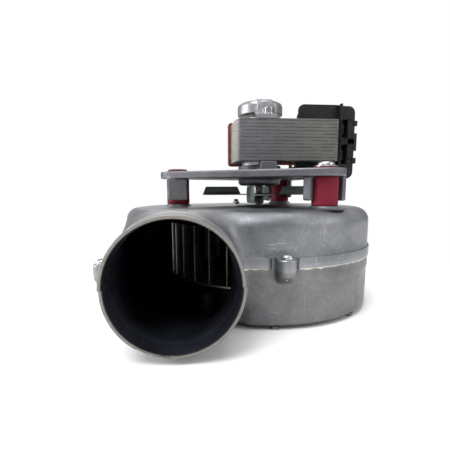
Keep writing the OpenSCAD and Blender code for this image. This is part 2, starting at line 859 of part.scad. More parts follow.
module impeller_blades() {
    color("lightgray") for (i = [0 : blade_count - 1]) rotate(blade_phase + i * 360 / blade_count) {
        translate([wheel_d / 2 - 0.7, 0, wheel_z + sheet]) linear_extrude(plate_z - wheel_z - sheet) blade_plan();
    }
}

module impeller_ring() {
    color(steel_grey) ring(wheel_z, sheet, wheel_d, wheel_d - 2 * blade_depth - 3);
}

module impeller_nut() {
    color(dark_steel) difference() {
        translate([0, 0, nut_z]) cylinder(h = hub_low_z - nut_z, d = nut_d, $fn = 6);
        translate([0, 0, nut_z - 1]) cylinder(h = 6, d = shaft_d);
    }
}

scroll_lower_half();
scroll_upper_half();
scroll_screws();
test_point_screw();
isolators();
isolator_sleeves();
isolator_screws();
washer_head_screw();
motor_bracket();
lower_bearing();
upper_bearing();
oil_felts();
bearing_clips();
upper_bearing_bridge();
bridge_screws();
stator_stack();
coil_core_bar();
shading_rings();
coil_bobbin();
coil_winding();
terminal_housing();
spade_terminals();
earth_tab();
shaft();
rotor_core();
rotor_end_rings();
thrust_washers();
shaft_clips();
cooling_fan();
cooling_fan_bush();
impeller_hub();
impeller_back_plate();
impeller_rivets();
impeller_blades();
impeller_ring();
impeller_nut();
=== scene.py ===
"""Looks of the flue-gas exhaust blower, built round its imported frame."""
import math
import random

import bmesh
import bpy
from mathutils import Matrix, Vector, geometry, noise


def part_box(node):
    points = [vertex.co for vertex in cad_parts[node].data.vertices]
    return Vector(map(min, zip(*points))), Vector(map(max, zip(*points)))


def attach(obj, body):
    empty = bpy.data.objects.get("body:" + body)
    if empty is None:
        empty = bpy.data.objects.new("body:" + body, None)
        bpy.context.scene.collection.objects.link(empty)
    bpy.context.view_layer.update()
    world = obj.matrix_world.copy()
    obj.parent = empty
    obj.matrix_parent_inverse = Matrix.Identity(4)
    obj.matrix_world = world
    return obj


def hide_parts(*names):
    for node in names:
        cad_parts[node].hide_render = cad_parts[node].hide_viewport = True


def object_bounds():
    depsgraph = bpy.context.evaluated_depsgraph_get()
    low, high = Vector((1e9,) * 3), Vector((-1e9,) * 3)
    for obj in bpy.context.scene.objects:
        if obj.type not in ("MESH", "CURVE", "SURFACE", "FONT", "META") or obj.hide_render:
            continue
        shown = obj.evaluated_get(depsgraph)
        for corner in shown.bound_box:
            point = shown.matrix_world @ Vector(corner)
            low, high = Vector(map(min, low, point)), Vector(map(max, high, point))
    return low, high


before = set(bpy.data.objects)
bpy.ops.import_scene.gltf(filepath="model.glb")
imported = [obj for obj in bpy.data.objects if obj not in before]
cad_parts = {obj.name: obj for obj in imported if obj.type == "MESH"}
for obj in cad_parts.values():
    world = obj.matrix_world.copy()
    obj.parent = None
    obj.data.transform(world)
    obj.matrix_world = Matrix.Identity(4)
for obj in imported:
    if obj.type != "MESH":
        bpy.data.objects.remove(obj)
CAD_BOX = [list(corner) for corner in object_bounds()]
MM = 0.001


def box_mm(node):
    """A CAD node's lowest and highest corners, in millimetres."""
    return [[c / MM for c in corner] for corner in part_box(node)]


def mix(t, a, b):
    return (1 - t) * a + t * b


def smooth(t):
    t = min(1.0, max(0.0, t))
    return t * t * (3 - 2 * t)


def polar(r, degrees):
    return Vector((r * math.cos(math.radians(degrees)), r * math.sin(math.radians(degrees))))


def arc(centre, r, a0, a1, count):
    return [Vector(centre) + polar(r, mix(k / count, a0, a1)) for k in range(count + 1)]


def rough(point, scale, seed=0.0):
    """Smooth noise from -1 to 1 at a point given in millimetres, with features about scale across."""
    return noise.noise(Vector(point) / scale + Vector((seed, seed * 0.7, seed * 1.3)))


# ---------------------------------------------------------------- mesh tools

class Solid:
    """Collects vertices in millimetres and faces, then makes one object of them."""

    def __init__(self):
        self.verts = []
        self.faces = []
        self.slots = []

    def ring(self, points):
        """Adds points and returns their numbers."""
        start = len(self.verts)
        self.verts += [tuple(p) for p in points]
        return list(range(start, len(self.verts)))

    def face(self, corners, slot=0):
        kept = [c for i, c in enumerate(corners) if c != corners[i - 1]]
        if len(kept) > 2:
            self.faces.append(kept)
            self.slots.append(slot)

    def bridge(self, a, b, closed=True, slot=0):
        """Joins two rings of the same length with four-sided faces."""
        for i in range(len(a) if closed else len(a) - 1):
            j = (i + 1) % len(a)
            self.face([a[i], a[j], b[j], b[i]], slot)

    def loft(self, sections, ends=True):
        """Joins closed sections, each a list of points, into a tube, with its ends closed or left open."""
        rings = [self.ring(section) for section in sections]
        for a, b in zip(rings, rings[1:]):
            self.bridge(a, b)
        if ends:
            self.face(rings[0])
            self.face(rings[-1])

    def lathe(self, profile, centre=(0, 0), segments=48, slot=0, shape=None, base=0):
        """Turns (radius, height over base) points about an upright axis. shape(radius, angle) may bend them."""
        last = None
        for r, z in profile:
            z += base
            if r <= 1e-6:
                now = self.ring([(*centre, z)]) * segments
            else:
                points = []
                for k in range(segments):
                    a = 360.0 * k / segments
                    p = polar(shape(r, a) if shape else r, a)
                    points.append((centre[0] + p.x, centre[1] + p.y, z))
                now = self.ring(points)
            if last:
                self.bridge(last, now, slot=slot)
            last = now

    def block(self, low, high, bevel, matrix=None):
        """A box with rounded edges."""
        bm = bmesh.new()
        bmesh.ops.create_cube(bm, size=1)
        for v in bm.verts:
            v.co = Vector([mix(c + 0.5, a, b) for c, a, b in zip(v.co, low, high)])
        self.take(bm, bm.edges[:], bevel, 2, matrix)

    def prism(self, outline, z0, z1, bevel, segments=2, matrix=None):
        """A plan outline drawn up from z0 to z1, with its edges rounded."""
        bm = bmesh.new()
        low = [bm.verts.new((x, y, z0)) for x, y in outline]
        high = [bm.verts.new((x, y, z1)) for x, y in outline]
        bm.faces.new(low[::-1])
        bm.faces.new(high)
        for i in range(len(low)):
            j = (i + 1) % len(low)
            bm.faces.new((low[i], low[j], high[j], high[i]))
        bmesh.ops.recalc_face_normals(bm, faces=bm.faces[:])
        edges = [e for e in bm.edges if e.calc_face_angle(0) > math.radians(32)]
        self.take(bm, edges, bevel, segments, matrix)

    def take(self, bm, edges, bevel, segments, matrix):
        """Rounds the given edges of a scratch mesh, places it and adds it."""
        if bevel:
            bmesh.ops.bevel(bm, geom=edges, offset=bevel, segments=segments, profile=0.5, affect="EDGES")
        if matrix:
            bm.transform(matrix)
        bm.verts.index_update()
        start = len(self.verts)
        self.verts += [tuple(v.co) for v in bm.verts]
        for f in bm.faces:
            self.faces.append([start + v.index for v in f.verts])
            self.slots.append(0)
        bm.free()

    def make(self, name, materials, replaces=(), slot=None, weld=0.002, sharp=35, body="casing"):
        """Welds the faces into one object that rides on a body and stands for the CAD nodes in replaces."""
        mesh = bpy.data.meshes.new(name)
        mesh.from_pydata([[c * MM for c in v] for v in self.verts], [], self.faces)
        for m in materials:
            mesh.materials.append(m)
        mesh.polygons.foreach_set("material_index", self.slots)
        bm = bmesh.new()
        bm.from_mesh(mesh)
        bmesh.ops.remove_doubles(bm, verts=bm.verts[:], dist=weld * MM)
        bmesh.ops.dissolve_degenerate(bm, edges=bm.edges[:], dist=1e-7)
        bmesh.ops.recalc_face_normals(bm, faces=bm.faces[:])
        bm.to_mesh(mesh)
        bm.free()
        finish_mesh(mesh, sharp)
        piece = bpy.data.objects.new(name, mesh)
        bpy.context.scene.collection.objects.link(piece)
        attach(piece, body)
        if replaces:
            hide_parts(*replaces)
        return piece


def finish_mesh(mesh, sharp):
    """Smooth shading, with creases where the surface turns by more than sharp degrees."""
    mesh.polygons.foreach_set("use_smooth", [True] * len(mesh.polygons))
    mesh.set_sharp_from_angle(angle=math.radians(sharp))


def apply(piece):
    """Puts a piece's modifiers into its mesh."""
    graph = bpy.context.evaluated_depsgraph_get()
    mesh = bpy.data.meshes.new_from_object(piece.evaluated_get(graph))
    if not mesh.materials:
        for m in piece.data.materials:
            mesh.materials.append(m)
    piece.modifiers.clear()
    piece.data = mesh


def melt(piece, voxel):
    """Adds the modifier that melts overlapping solids into one skin."""
    skin = piece.modifiers.new("skin", "REMESH")
    skin.mode = "VOXEL"
    skin.voxel_size = voxel * MM


def carve(piece, tool, solver):
    """Cuts tool out of piece and removes tool."""
    cut = piece.modifiers.new("cut", "BOOLEAN")
    cut.operation = "DIFFERENCE"
    cut.object = tool
    cut.solver = solver
    cut.use_self = solver == "EXACT"
    bpy.context.view_layer.update()
    apply(piece)
    bpy.data.objects.remove(tool)


def soften(piece, width, angle):
    """Rounds the edges of a piece that turn by more than angle degrees."""
    soft = piece.modifiers.new("soft", "BEVEL")
    soft.width = width * MM
    soft.segments = 2
    soft.limit_method = "ANGLE"
    soft.angle_limit = math.radians(angle)


# ----------------------------------------------------------------- materials

class Tree:
    """Short hand for building a node tree."""

    def __init__(self, tree):
        self.tree = tree

    def node(self, kind, links=(), **values):
        n = self.tree.nodes.new("ShaderNode" + kind)
        for key, value in values.items():
            if key in n.inputs:
                n.inputs[key].default_value = value
            else:
                setattr(n, key, value)
        for key, source in dict(links).items():
            self.feed(n.inputs[key], source)
        return n

    def feed(self, socket, value):
        """Gives a socket a colour, a number or another node's output."""
        if isinstance(value, (tuple, list)):
            socket.default_value = (*value, 1.0)
        elif isinstance(value, (int, float)):
            socket.default_value = value
        else:
            self.tree.links.new(value, socket)

    def ramp(self, source, low, high, a=0.0, b=1.0, **more):
        """Maps source from low to high onto a to b."""
        links = {"Value": source, "From Min": low, "From Max": high, "To Min": a, "To Max": b}
        return self.node("MapRange", links, **more).outputs["Result"]

    def blend(self, factor, a, b):
        return self.node("Mix", {0: factor, 6: a, 7: b}, data_type="RGBA").outputs[2]

    def product(self, a, b):
        return self.node("Math", {0: a, 1: b}, operation="MULTIPLY").outputs[0]


class Finish(Tree):
    """One material. Its patterns are laid out in object space, in metres, which all pieces share."""

    SOCKETS = {"color": "Base Color", "rough": "Roughness", "metal": "Metallic", "normal": "Normal",
               "coat": "Coat Weight", "sheen": "Sheen Weight", "specular": "Specular IOR Level"}

    def __init__(self, name):
        self.material = bpy.data.materials.new(name)
        self.material.use_nodes = True
        super().__init__(self.material.node_tree)
        self.shader = self.tree.nodes["Principled BSDF"]
        self.space = self.tree.nodes.new("ShaderNodeTexCoord").outputs["Object"]

    def stretch(self, scale, turn=(0, 0, 0)):
        return self.node("Mapping", {"Vector": self.space}, Scale=scale, Rotation=turn).outputs[0]

    def noise(self, scale, detail=4.0, vector=None, roughness=0.55):
        links = {"Vector": vector or self.space}
        return self.node("TexNoise", links, Scale=scale, Detail=detail, Roughness=roughness).outputs["Fac"]

    def mottle(self, scale, detail, dark, light, low=0.3, high=0.7):
        """Two colours that drift into each other."""
        return self.blend(self.ramp(self.noise(scale, detail), low, high), dark, light)

    def over(self, color, source, low, high, strength, top):
        """Lays a top colour over another where source goes from low to high."""
        return self.blend(self.ramp(source, low, high, 0.0, strength), color, top)

    def edges(self):
        """Grows from 0 to 1 on edges that stand out: handling wear, and a painted highlight along those edges.
        """
        return self.ramp(self.node("NewGeometry").outputs["Pointiness"], 0.505, 0.56)

    def axis(self, name):
        return self.node("SeparateXYZ", {"Vector": self.space}).outputs[name]

    def bump(self, height, strength, distance, below=None):
        links = {"Height": height}
        if below:
            links["Normal"] = below
        return self.node("Bump", links, Strength=strength, Distance=distance * MM).outputs["Normal"]

    def set(self, **values):
        for key, value in values.items():
            self.feed(self.shader.inputs[self.SOCKETS[key]], value)
        return self.material


def tint(color, factor, lift=0.0):
    """A colour made darker or lighter, and no brighter than 1."""
    return [min(1.0, c * factor + lift) for c in color]


def cast_metal(name, dark, light, warm, rough_low=0.34, rough_high=0.56, grain=1.0):
    """Die-cast aluminium: flow mottling, bright specks, pits, scratches, and worn edges with a painted
    highlight.
    """
    n = Finish(name)
    color = n.mottle(38, 5.0, dark, light, 0.32, 0.68)
    color = n.over(color, n.noise(14, 3.0, n.stretch((1, 1, 2.2))), 0.52, 0.72, 0.55, warm)
    color = n.over(color, n.noise(520, 4.0), 0.35, 0.70, 0.30, tint(dark, 0.72))
    specks = n.node("TexVoronoi", {"Vector": n.space}, Scale=330.0, Randomness=1.0).outputs["Distance"]
    color = n.over(color, specks, 0.10, 0.05, 0.30, tint(light, 1.9))
    for turn, scale in (((0.5, 0.7, 0.3), (11, 0.9, 11)), ((-0.8, 0.2, 1.1), (12, 12, 1.0)),
                        ((1.2, -0.5, 0.6), (1.1, 13, 13))):
        scratch = n.noise(75, 1.0, n.stretch(scale, turn), 0.3)
        color = n.over(color, scratch, 0.735, 0.76, 0.30, tint(light, 1.8))
    # Worn edges with a painted highlight: lighter where edges stand out.
    color = n.over(color, n.edges(), 0.0, 1.0, 0.45, tint(light, 1.6))
    skin = n.bump(n.noise(900, 3.0), 0.28 * grain, 0.10)
    skin = n.bump(n.noise(95, 4.0), 0.30 * grain, 0.35, skin)
    rough_value = n.ramp(n.noise(70, 5.0), 0.3, 0.7, rough_low, rough_high)
    return n.set(color=color, rough=rough_value, metal=0.82, normal=skin)


def plain_metal(name, dark, light, rough_value=0.3, metal=1.0, scale=260, bump=0.12):
    """Sheet or turned steel and similar: streaky colour, fine bump, and edges brightened by wear and a painted
    highlight.
    """
    n = Finish(name)
    color = n.mottle(scale, 4.0, dark, light)
    color = n.over(color, n.noise(scale * 5, 2.0), 0.55, 0.75, 0.4, tint(dark, 0.6))
    # Edges lighter from wear and a painted highlight.
    color = n.over(color, n.edges(), 0.0, 1.0, 0.25, tint(light, 1.25, 0.08))
    value = n.ramp(n.noise(scale * 0.6, 3.0), 0.3, 0.7, rough_value * 0.8, rough_value * 1.35)
    return n.set(color=color, rough=value, metal=metal, normal=n.bump(n.noise(scale * 4, 3.0), bump, 0.06))


def moulded(name, base, light, rough_value=0.5, grain=700, bump=0.2, edge=0.2, sheen=0.0, specular=0.5):
    """Plastic or rubber: faint colour drift, moulded grain, dust, and rubbed edges with a painted highlight."""
    n = Finish(name)
    color = n.mottle(45, 5.0, base, light)
    color = n.over(color, n.noise(400, 3.0), 0.62, 0.80, 0.22, tint(light, 1.4, 0.06))
    # Rubbed edges with a painted highlight: lighter where edges stand out.
    color = n.over(color, n.edges(), 0.0, 1.0, edge, tint(light, 1.6, 0.05))
    value = n.ramp(n.noise(120, 4.0), 0.3, 0.7, rough_value * 0.82, min(1.0, rough_value * 1.2))
    normal = n.bump(n.noise(grain, 2.0), bump, 0.08)
    return n.set(color=color, rough=value, metal=0.0, normal=normal, sheen=sheen, specular=specular)


STACK_LOW, STACK_HIGH = box_mm("stator_stack")
SHEETS = 38
SHEET_PITCH = (STACK_HIGH[2] - STACK_LOW[2]) / SHEETS


def laminated(name):
    """Edges of stamped sheets: fine horizontal lines, broken dark joints and press marks, with a painted
    highlight on the stack's left face.
    """
    n = Finish(name)
    base = n.mottle(30, 3.0, (0.140, 0.136, 0.144), (0.198, 0.193, 0.186), 0.35, 0.65)
    drift = n.ramp(n.axis("X"), -0.015, 0.035)
    base = n.blend(drift, n.blend(0.30, base, (0.25, 0.23, 0.29)), n.blend(0.35, base, (0.22, 0.23, 0.19)))

    def joints(pitch, width):
        turns = n.product(n.axis("Z"), 1 / (pitch * MM))
        part = n.node("Math", {0: turns, 1: 0.5}, operation="PINGPONG").outputs[0]
        return n.ramp(part, width, width * 0.4)

    lines = joints(SHEET_PITCH, 0.30)
    color = n.over(base, lines, 0.0, 1.0, 0.62, (0.06, 0.06, 0.06))
    broken = n.ramp(n.noise(150, 1.0, n.stretch((1.0, 1.0, 2.2)), 0.5), 0.44, 0.50)
    gaps = n.product(joints(3 * SHEET_PITCH, 0.085), broken)
    color = n.over(color, gaps, 0.0, 1.0, 0.97, (0.004, 0.004, 0.005))
    # Painted highlight: the stack's left face, left of x = -16 mm, is painted light grey with faint sheet
    # lines.
    lit_left_face = n.over((0.52, 0.51, 0.48), lines, 0.0, 1.0, 0.3, (0.25, 0.25, 0.24))
    color = n.over(color, n.axis("X"), -0.0160, -0.0172, 1.0, lit_left_face)
    marks = n.noise(90, 1.0, n.stretch((3.2, 3.2, 0.02)), 0.5)
    color = n.over(color, marks, 0.60, 0.72, 0.18, (0.08, 0.08, 0.08))
    rough_value = n.ramp(n.noise(200, 2.0), 0.3, 0.7, 0.42, 0.60)
    return n.set(color=color, rough=rough_value, metal=0.75, normal=n.bump(lines, 0.6, 0.12))


def bladed(name):
    """Sheet with painted shade on the blade faces and a painted highlight along the blades' outer edges."""
    n = Finish(name)
    flat = n.node("VectorMath", {"Vector": n.stretch((1, 1, 0))}, operation="LENGTH").outputs["Value"]
    # Painted shade: the blade faces are near black.
    shaded_faces = n.mottle(150, 4.0, (0.018, 0.018, 0.020), (0.050, 0.050, 0.054))
    bright = n.mottle(60, 3.0, (0.42, 0.40, 0.37), (0.85, 0.82, 0.76), 0.35, 0.65)
    # Painted highlight: the blades' outer edges, beyond 58.2 mm from the axis, are painted bright.
    color = n.over(shaded_faces, flat, 0.0582, 0.0585, 1.0, bright)
    return n.set(color=color, rough=0.42, metal=0.6, normal=n.bump(n.noise(500, 3.0), 0.2, 0.06))


def wound(name):
    """Enamelled wire: tight upright turns with lacquer."""
    n = Finish(name)
    look = {"bands_direction": "Y", "Scale": 520.0, "Distortion": 0.5, "Detail": 1.0}
    turns = n.node("TexWave", {"Vector": n.space}, **look).outputs["Fac"]
    color = n.blend(turns, (0.045, 0.012, 0.005), (0.34, 0.10, 0.028))
    color = n.over(color, n.noise(200, 3.0), 0.4, 0.7, 0.5, (0.16, 0.045, 0.014))
    return n.set(color=color, rough=0.36, metal=0.7, coat=0.3, normal=n.bump(turns, 0.8, 0.2))


CAST = cast_metal("cast_scroll", (0.142, 0.149, 0.163), (0.275, 0.281, 0.292), (0.37, 0.36, 0.335))
CAST_BRACKET = cast_metal("cast_bracket", (0.105, 0.105, 0.120), (0.190, 0.190, 0.206), (0.22, 0.215, 0.21),
                          0.42, 0.62, 1.4)
CAST_BRIGHT = cast_metal("cast_bridge", (0.16, 0.16, 0.175), (0.30, 0.30, 0.315), (0.30, 0.29, 0.28),
                         0.30, 0.48, 0.7)
CAST_LOWER = cast_metal("cast_lower", (0.118, 0.120, 0.126), (0.215, 0.215, 0.215), (0.29, 0.277, 0.25),
                        0.38, 0.60, 1.6)
RIM = cast_metal("cut_rim", (0.125, 0.116, 0.108), (0.215, 0.200, 0.186), (0.24, 0.22, 0.195), 0.45, 0.65, 1.2)
# Painted shade: the scroll's inside faces are near black.
INSIDE_SHADE = moulded("painted_shade_inside", (0.0050, 0.0056, 0.0085), (0.019, 0.021, 0.030), 0.5, 500, 0.6, 0.05, 0, 0.26)
SEALANT = moulded("seam_flash", (0.34, 0.325, 0.29), (0.56, 0.54, 0.47), 0.6, 300, 0.5, 0.3)
SILICONE = moulded("silicone", (0.130, 0.006, 0.017), (0.180, 0.009, 0.025), 0.6, 800, 0.12, 0.06, 0, 0.22)
PLASTIC = moulded("black_nylon", (0.0035, 0.0035, 0.0045), (0.0075, 0.0075, 0.009), 0.46, 900, 0.3, 0.12, 0,
                  0.22)
NYLON_GREEN = moulded("green_nylon", (0.03, 0.14, 0.08), (0.06, 0.22, 0.13), 0.4)
FELT = moulded("oiled_felt", (0.42, 0.36, 0.24), (0.60, 0.53, 0.38), 0.9, 1400, 0.9, 0.1, 0.5)
ZINC = plain_metal("zinc_plate", (0.36, 0.38, 0.41), (0.58, 0.59, 0.61), 0.24)
DARK_STEEL = plain_metal("oxidised_steel", (0.035, 0.035, 0.040), (0.085, 0.085, 0.092), 0.36)
SHAFT_STEEL = plain_metal("turned_shaft", (0.05, 0.05, 0.06), (0.12, 0.12, 0.13), 0.26)
SHEET = plain_metal("wheel_sheet", (0.15, 0.15, 0.15), (0.30, 0.29, 0.28), 0.34, 1.0, 120, 0.2)
# Painted highlight: a lighter copy of the wheel sheet, for the impeller ring.
LIT_RING_SHEET = plain_metal("wheel_ring_painted_highlight", (0.40, 0.39, 0.37), (0.66, 0.64, 0.60), 0.34, 1.0, 120, 0.2)
BLADES = bladed("wheel_blades")
BRONZE = plain_metal("sintered_bronze", (0.26, 0.15, 0.06), (0.42, 0.27, 0.12), 0.5, 0.9, 500, 0.5)
ROTOR = plain_metal("rotor_steel", (0.16, 0.16, 0.17), (0.27, 0.27, 0.28), 0.4)
END_RING = plain_metal("cast_end_ring", (0.46, 0.47, 0.48), (0.62, 0.63, 0.64), 0.42)
COPPER = plain_metal("lacquered_copper", (0.13, 0.020, 0.010), (0.27, 0.050, 0.018), 0.34, 0.85, 180)
BRASS = plain_metal("tinned_brass", (0.20, 0.165, 0.09), (0.36, 0.31, 0.20), 0.4)
SPADE = plain_metal("dulled_blades", (0.020, 0.018, 0.014), (0.05, 0.045, 0.035), 0.55)
# Grey-green coating, darkened as painted shade under the bracket.
FAN_PAINT_SHADED = plain_metal("coated_fan_painted_shade", (0.085, 0.108, 0.104), (0.135, 0.163, 0.157), 0.5, 0.35, 90, 0.15)
LAMINATED = laminated("laminations")
WIRE = wound("enamelled_wire")


# -------------------------------------------------------------- scroll shells

# The scroll's main sizes in millimetres, as in the CAD.
SEAM = 31.4
ROOF = 60.0
SEAT = 62.0
WALL = 2.3
SCROLL_R = 66.3
SHOULDER_R = 8.0
SOLE_R = 3.0
# The outlet: a round spigot, with its axis in the seam and a step in its bore.
OUTLET_X = -54.8
OUTLET_R = 30.0
BORE_R = 28.25
MOUTH_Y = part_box("scroll_upper_half")[0][1] / MM
NECK_Y = -84.0
STEP_Y = MOUTH_Y + 12
# Rounding of the corner between the outlet and the scroll.
VALLEY_R = 7.0
# Lugs at the seam, and the one on the left of the outlet duct.
LUG_R = 4.5
LUG_FILLET = 1.8
LUG_HALF = LUG_R + LUG_FILLET
LUG_UP = 5.6
LUG_DOWN = 4.9
LUG_ANGLES = (-90, 28, 88, 148)
SIDE_LUG_Y = -71.0
SIDE_REACH = 3.1
# Isolators, the test point and the shaft's hole in the roof.
MOUNT_R = 53.9
MOUNT_ANGLES = (61, 181, 301)
SEAT_FOOT_R = 10.8
TEST = (-9.4, 45.0)
TEST_FOOT_R = 3.3
TEST_H = 2.2
ROOF_DISH_R = 16.5
SHAFT_HOLE_R = 6.0
# The inlet side: recess, inlet, tapped bosses and small feet.
RECESS_R = 47.5
INLET_R = 38.0
BELL_R = 40.0
TAP_CIRCLE_R = 53
TAP_R = 1.65
FOOT_R = 2.6
FOOT_ANGLES = (-93, -47, -1, 45, 91, 137)
# Material slots of a half: cast outside, cut rim, and the inside with painted shade.
OUTSIDE, CUT, INSIDE = range(3)


def scroll_radius(a):
    """Radius of the outer wall at an angle in degrees. It grows anticlockwise from the narrowest place."""
    return SCROLL_R + 4.8 * (max(0.0, a + 100) / 100) ** 1.45


LEFT_X = scroll_radius(180)
VALLEY = Vector((OUTLET_X + OUTLET_R + VALLEY_R, 0))
VALLEY.y = -math.sqrt((SCROLL_R + VALLEY_R) ** 2 - VALLEY.x ** 2)
VALLEY_ANGLE = math.degrees(math.atan2(VALLEY.y, VALLEY.x))


class Station:
    """A place along the wall: the way in from it, how round its section is, and its place on a lug."""

    def __init__(self, at, inward, round_part, lug=None):
        self.at = Vector(at)
        self.inward = Vector(inward)
        self.round_part = round_part
        self.lug = lug


def lug_outline(reach):
    """Plan of a lug as (outward, along) points, with a fillet where it meets the wall."""
    points = []
    for k in range(5):
        a = math.radians(90 * k / 4)
        points.append((LUG_FILLET - LUG_FILLET * math.cos(a), -LUG_HALF + LUG_FILLET * math.sin(a)))
    for k in range(7):
        a = math.radians(90 * k / 6)
        points.append((reach + LUG_R * math.sin(a), -LUG_R * math.cos(a)))
    return points + [(u, -v) for u, v in reversed(points[:-1])]


def stations():
    """The wall from the right of the mouth, round the scroll, to the left of the mouth."""
    result = []
    mouth = [MOUTH_Y + d for d in (0, 0.35, 1.2, 4, 8)] + [STEP_Y - 0.4, STEP_Y + 0.4, -86, NECK_Y]
    for y in mouth + [mix(k / 6, NECK_Y, VALLEY.y) for k in range(1, 6)]:
        result.append(Station((OUTLET_X + OUTLET_R, y), (-1, 0), min(1.0, y / NECK_Y)))
    start = VALLEY.y / NECK_Y
    for k in range(11):
        way = polar(1, mix(k / 10, 180, VALLEY_ANGLE + 180))
        result.append(Station(VALLEY + VALLEY_R * way, way, start * (1 - smooth(k / 10))))
    outline = lug_outline(LUG_R)
    half = math.degrees(LUG_HALF / (SCROLL_R + 1))
    a = VALLEY_ANGLE + 1.6
    for lug in list(LUG_ANGLES) + [180 + half]:
        span = max(1, round((lug - half - a) / 1.8))
        for k in range(span):
            b = mix(k / span, a, lug - half)
            result.append(Station(polar(scroll_radius(b), b), -polar(1, b), 0))
        if lug > 170:
            break
        r = scroll_radius(lug)
        for k, (u, v) in enumerate(outline):
            b = mix(k / (len(outline) - 1), lug - half, lug + half)
            turn = lug + math.degrees(v / r)
            spot = polar(scroll_radius(turn) + u, turn)
            result.append(Station(polar(scroll_radius(b), b), -polar(1, b), 0, spot))
        a = lug + half + 1.2
    outline = lug_outline(SIDE_REACH)
    left = [(mix(k / 18, 0, SIDE_LUG_Y + LUG_HALF), None) for k in range(18)]
    for k, spot in enumerate(outline):
        left.append((mix(k / (len(outline) - 1), SIDE_LUG_Y + LUG_HALF, SIDE_LUG_Y - LUG_HALF), spot))
    left += [(y, None) for y in [-79, -81] + mouth[::-1]]
    for y, lug in left:
        t = min(1.0, y / NECK_Y)
        x = mix(t, -LEFT_X, OUTLET_X - OUTLET_R)
        spot = Vector((x - lug[0], SIDE_LUG_Y - lug[1])) if lug else None
        result.append(Station((x, y), (1, 0), t, spot))
    return result


def spigot_height(h):
    """Angle on the round spigot that lies as high as h."""
    return math.degrees(math.asin(min(1.0, h / OUTLET_R)))


def wall_rows(start, top, round_r, rounding):
    """Rows above the band: inset and height of the scroll's section, and the angle on the round spigot."""
    rows = []
    straight = top - round_r
    angle = 20
    while OUTLET_R * math.sin(math.radians(angle)) < straight - 0.8:
        h = OUTLET_R * math.sin(math.radians(angle))
        if h > start:
            rows.append((0.0, h, angle))
        angle += 5
    for k in range(rounding + 1):
        a = math.radians(90 * k / rounding)
        on_spigot = mix(k / rounding, spigot_height(straight), 90)
        rows.append((round_r * (1 - math.cos(a)), straight + round_r * math.sin(a), on_spigot))
    return rows


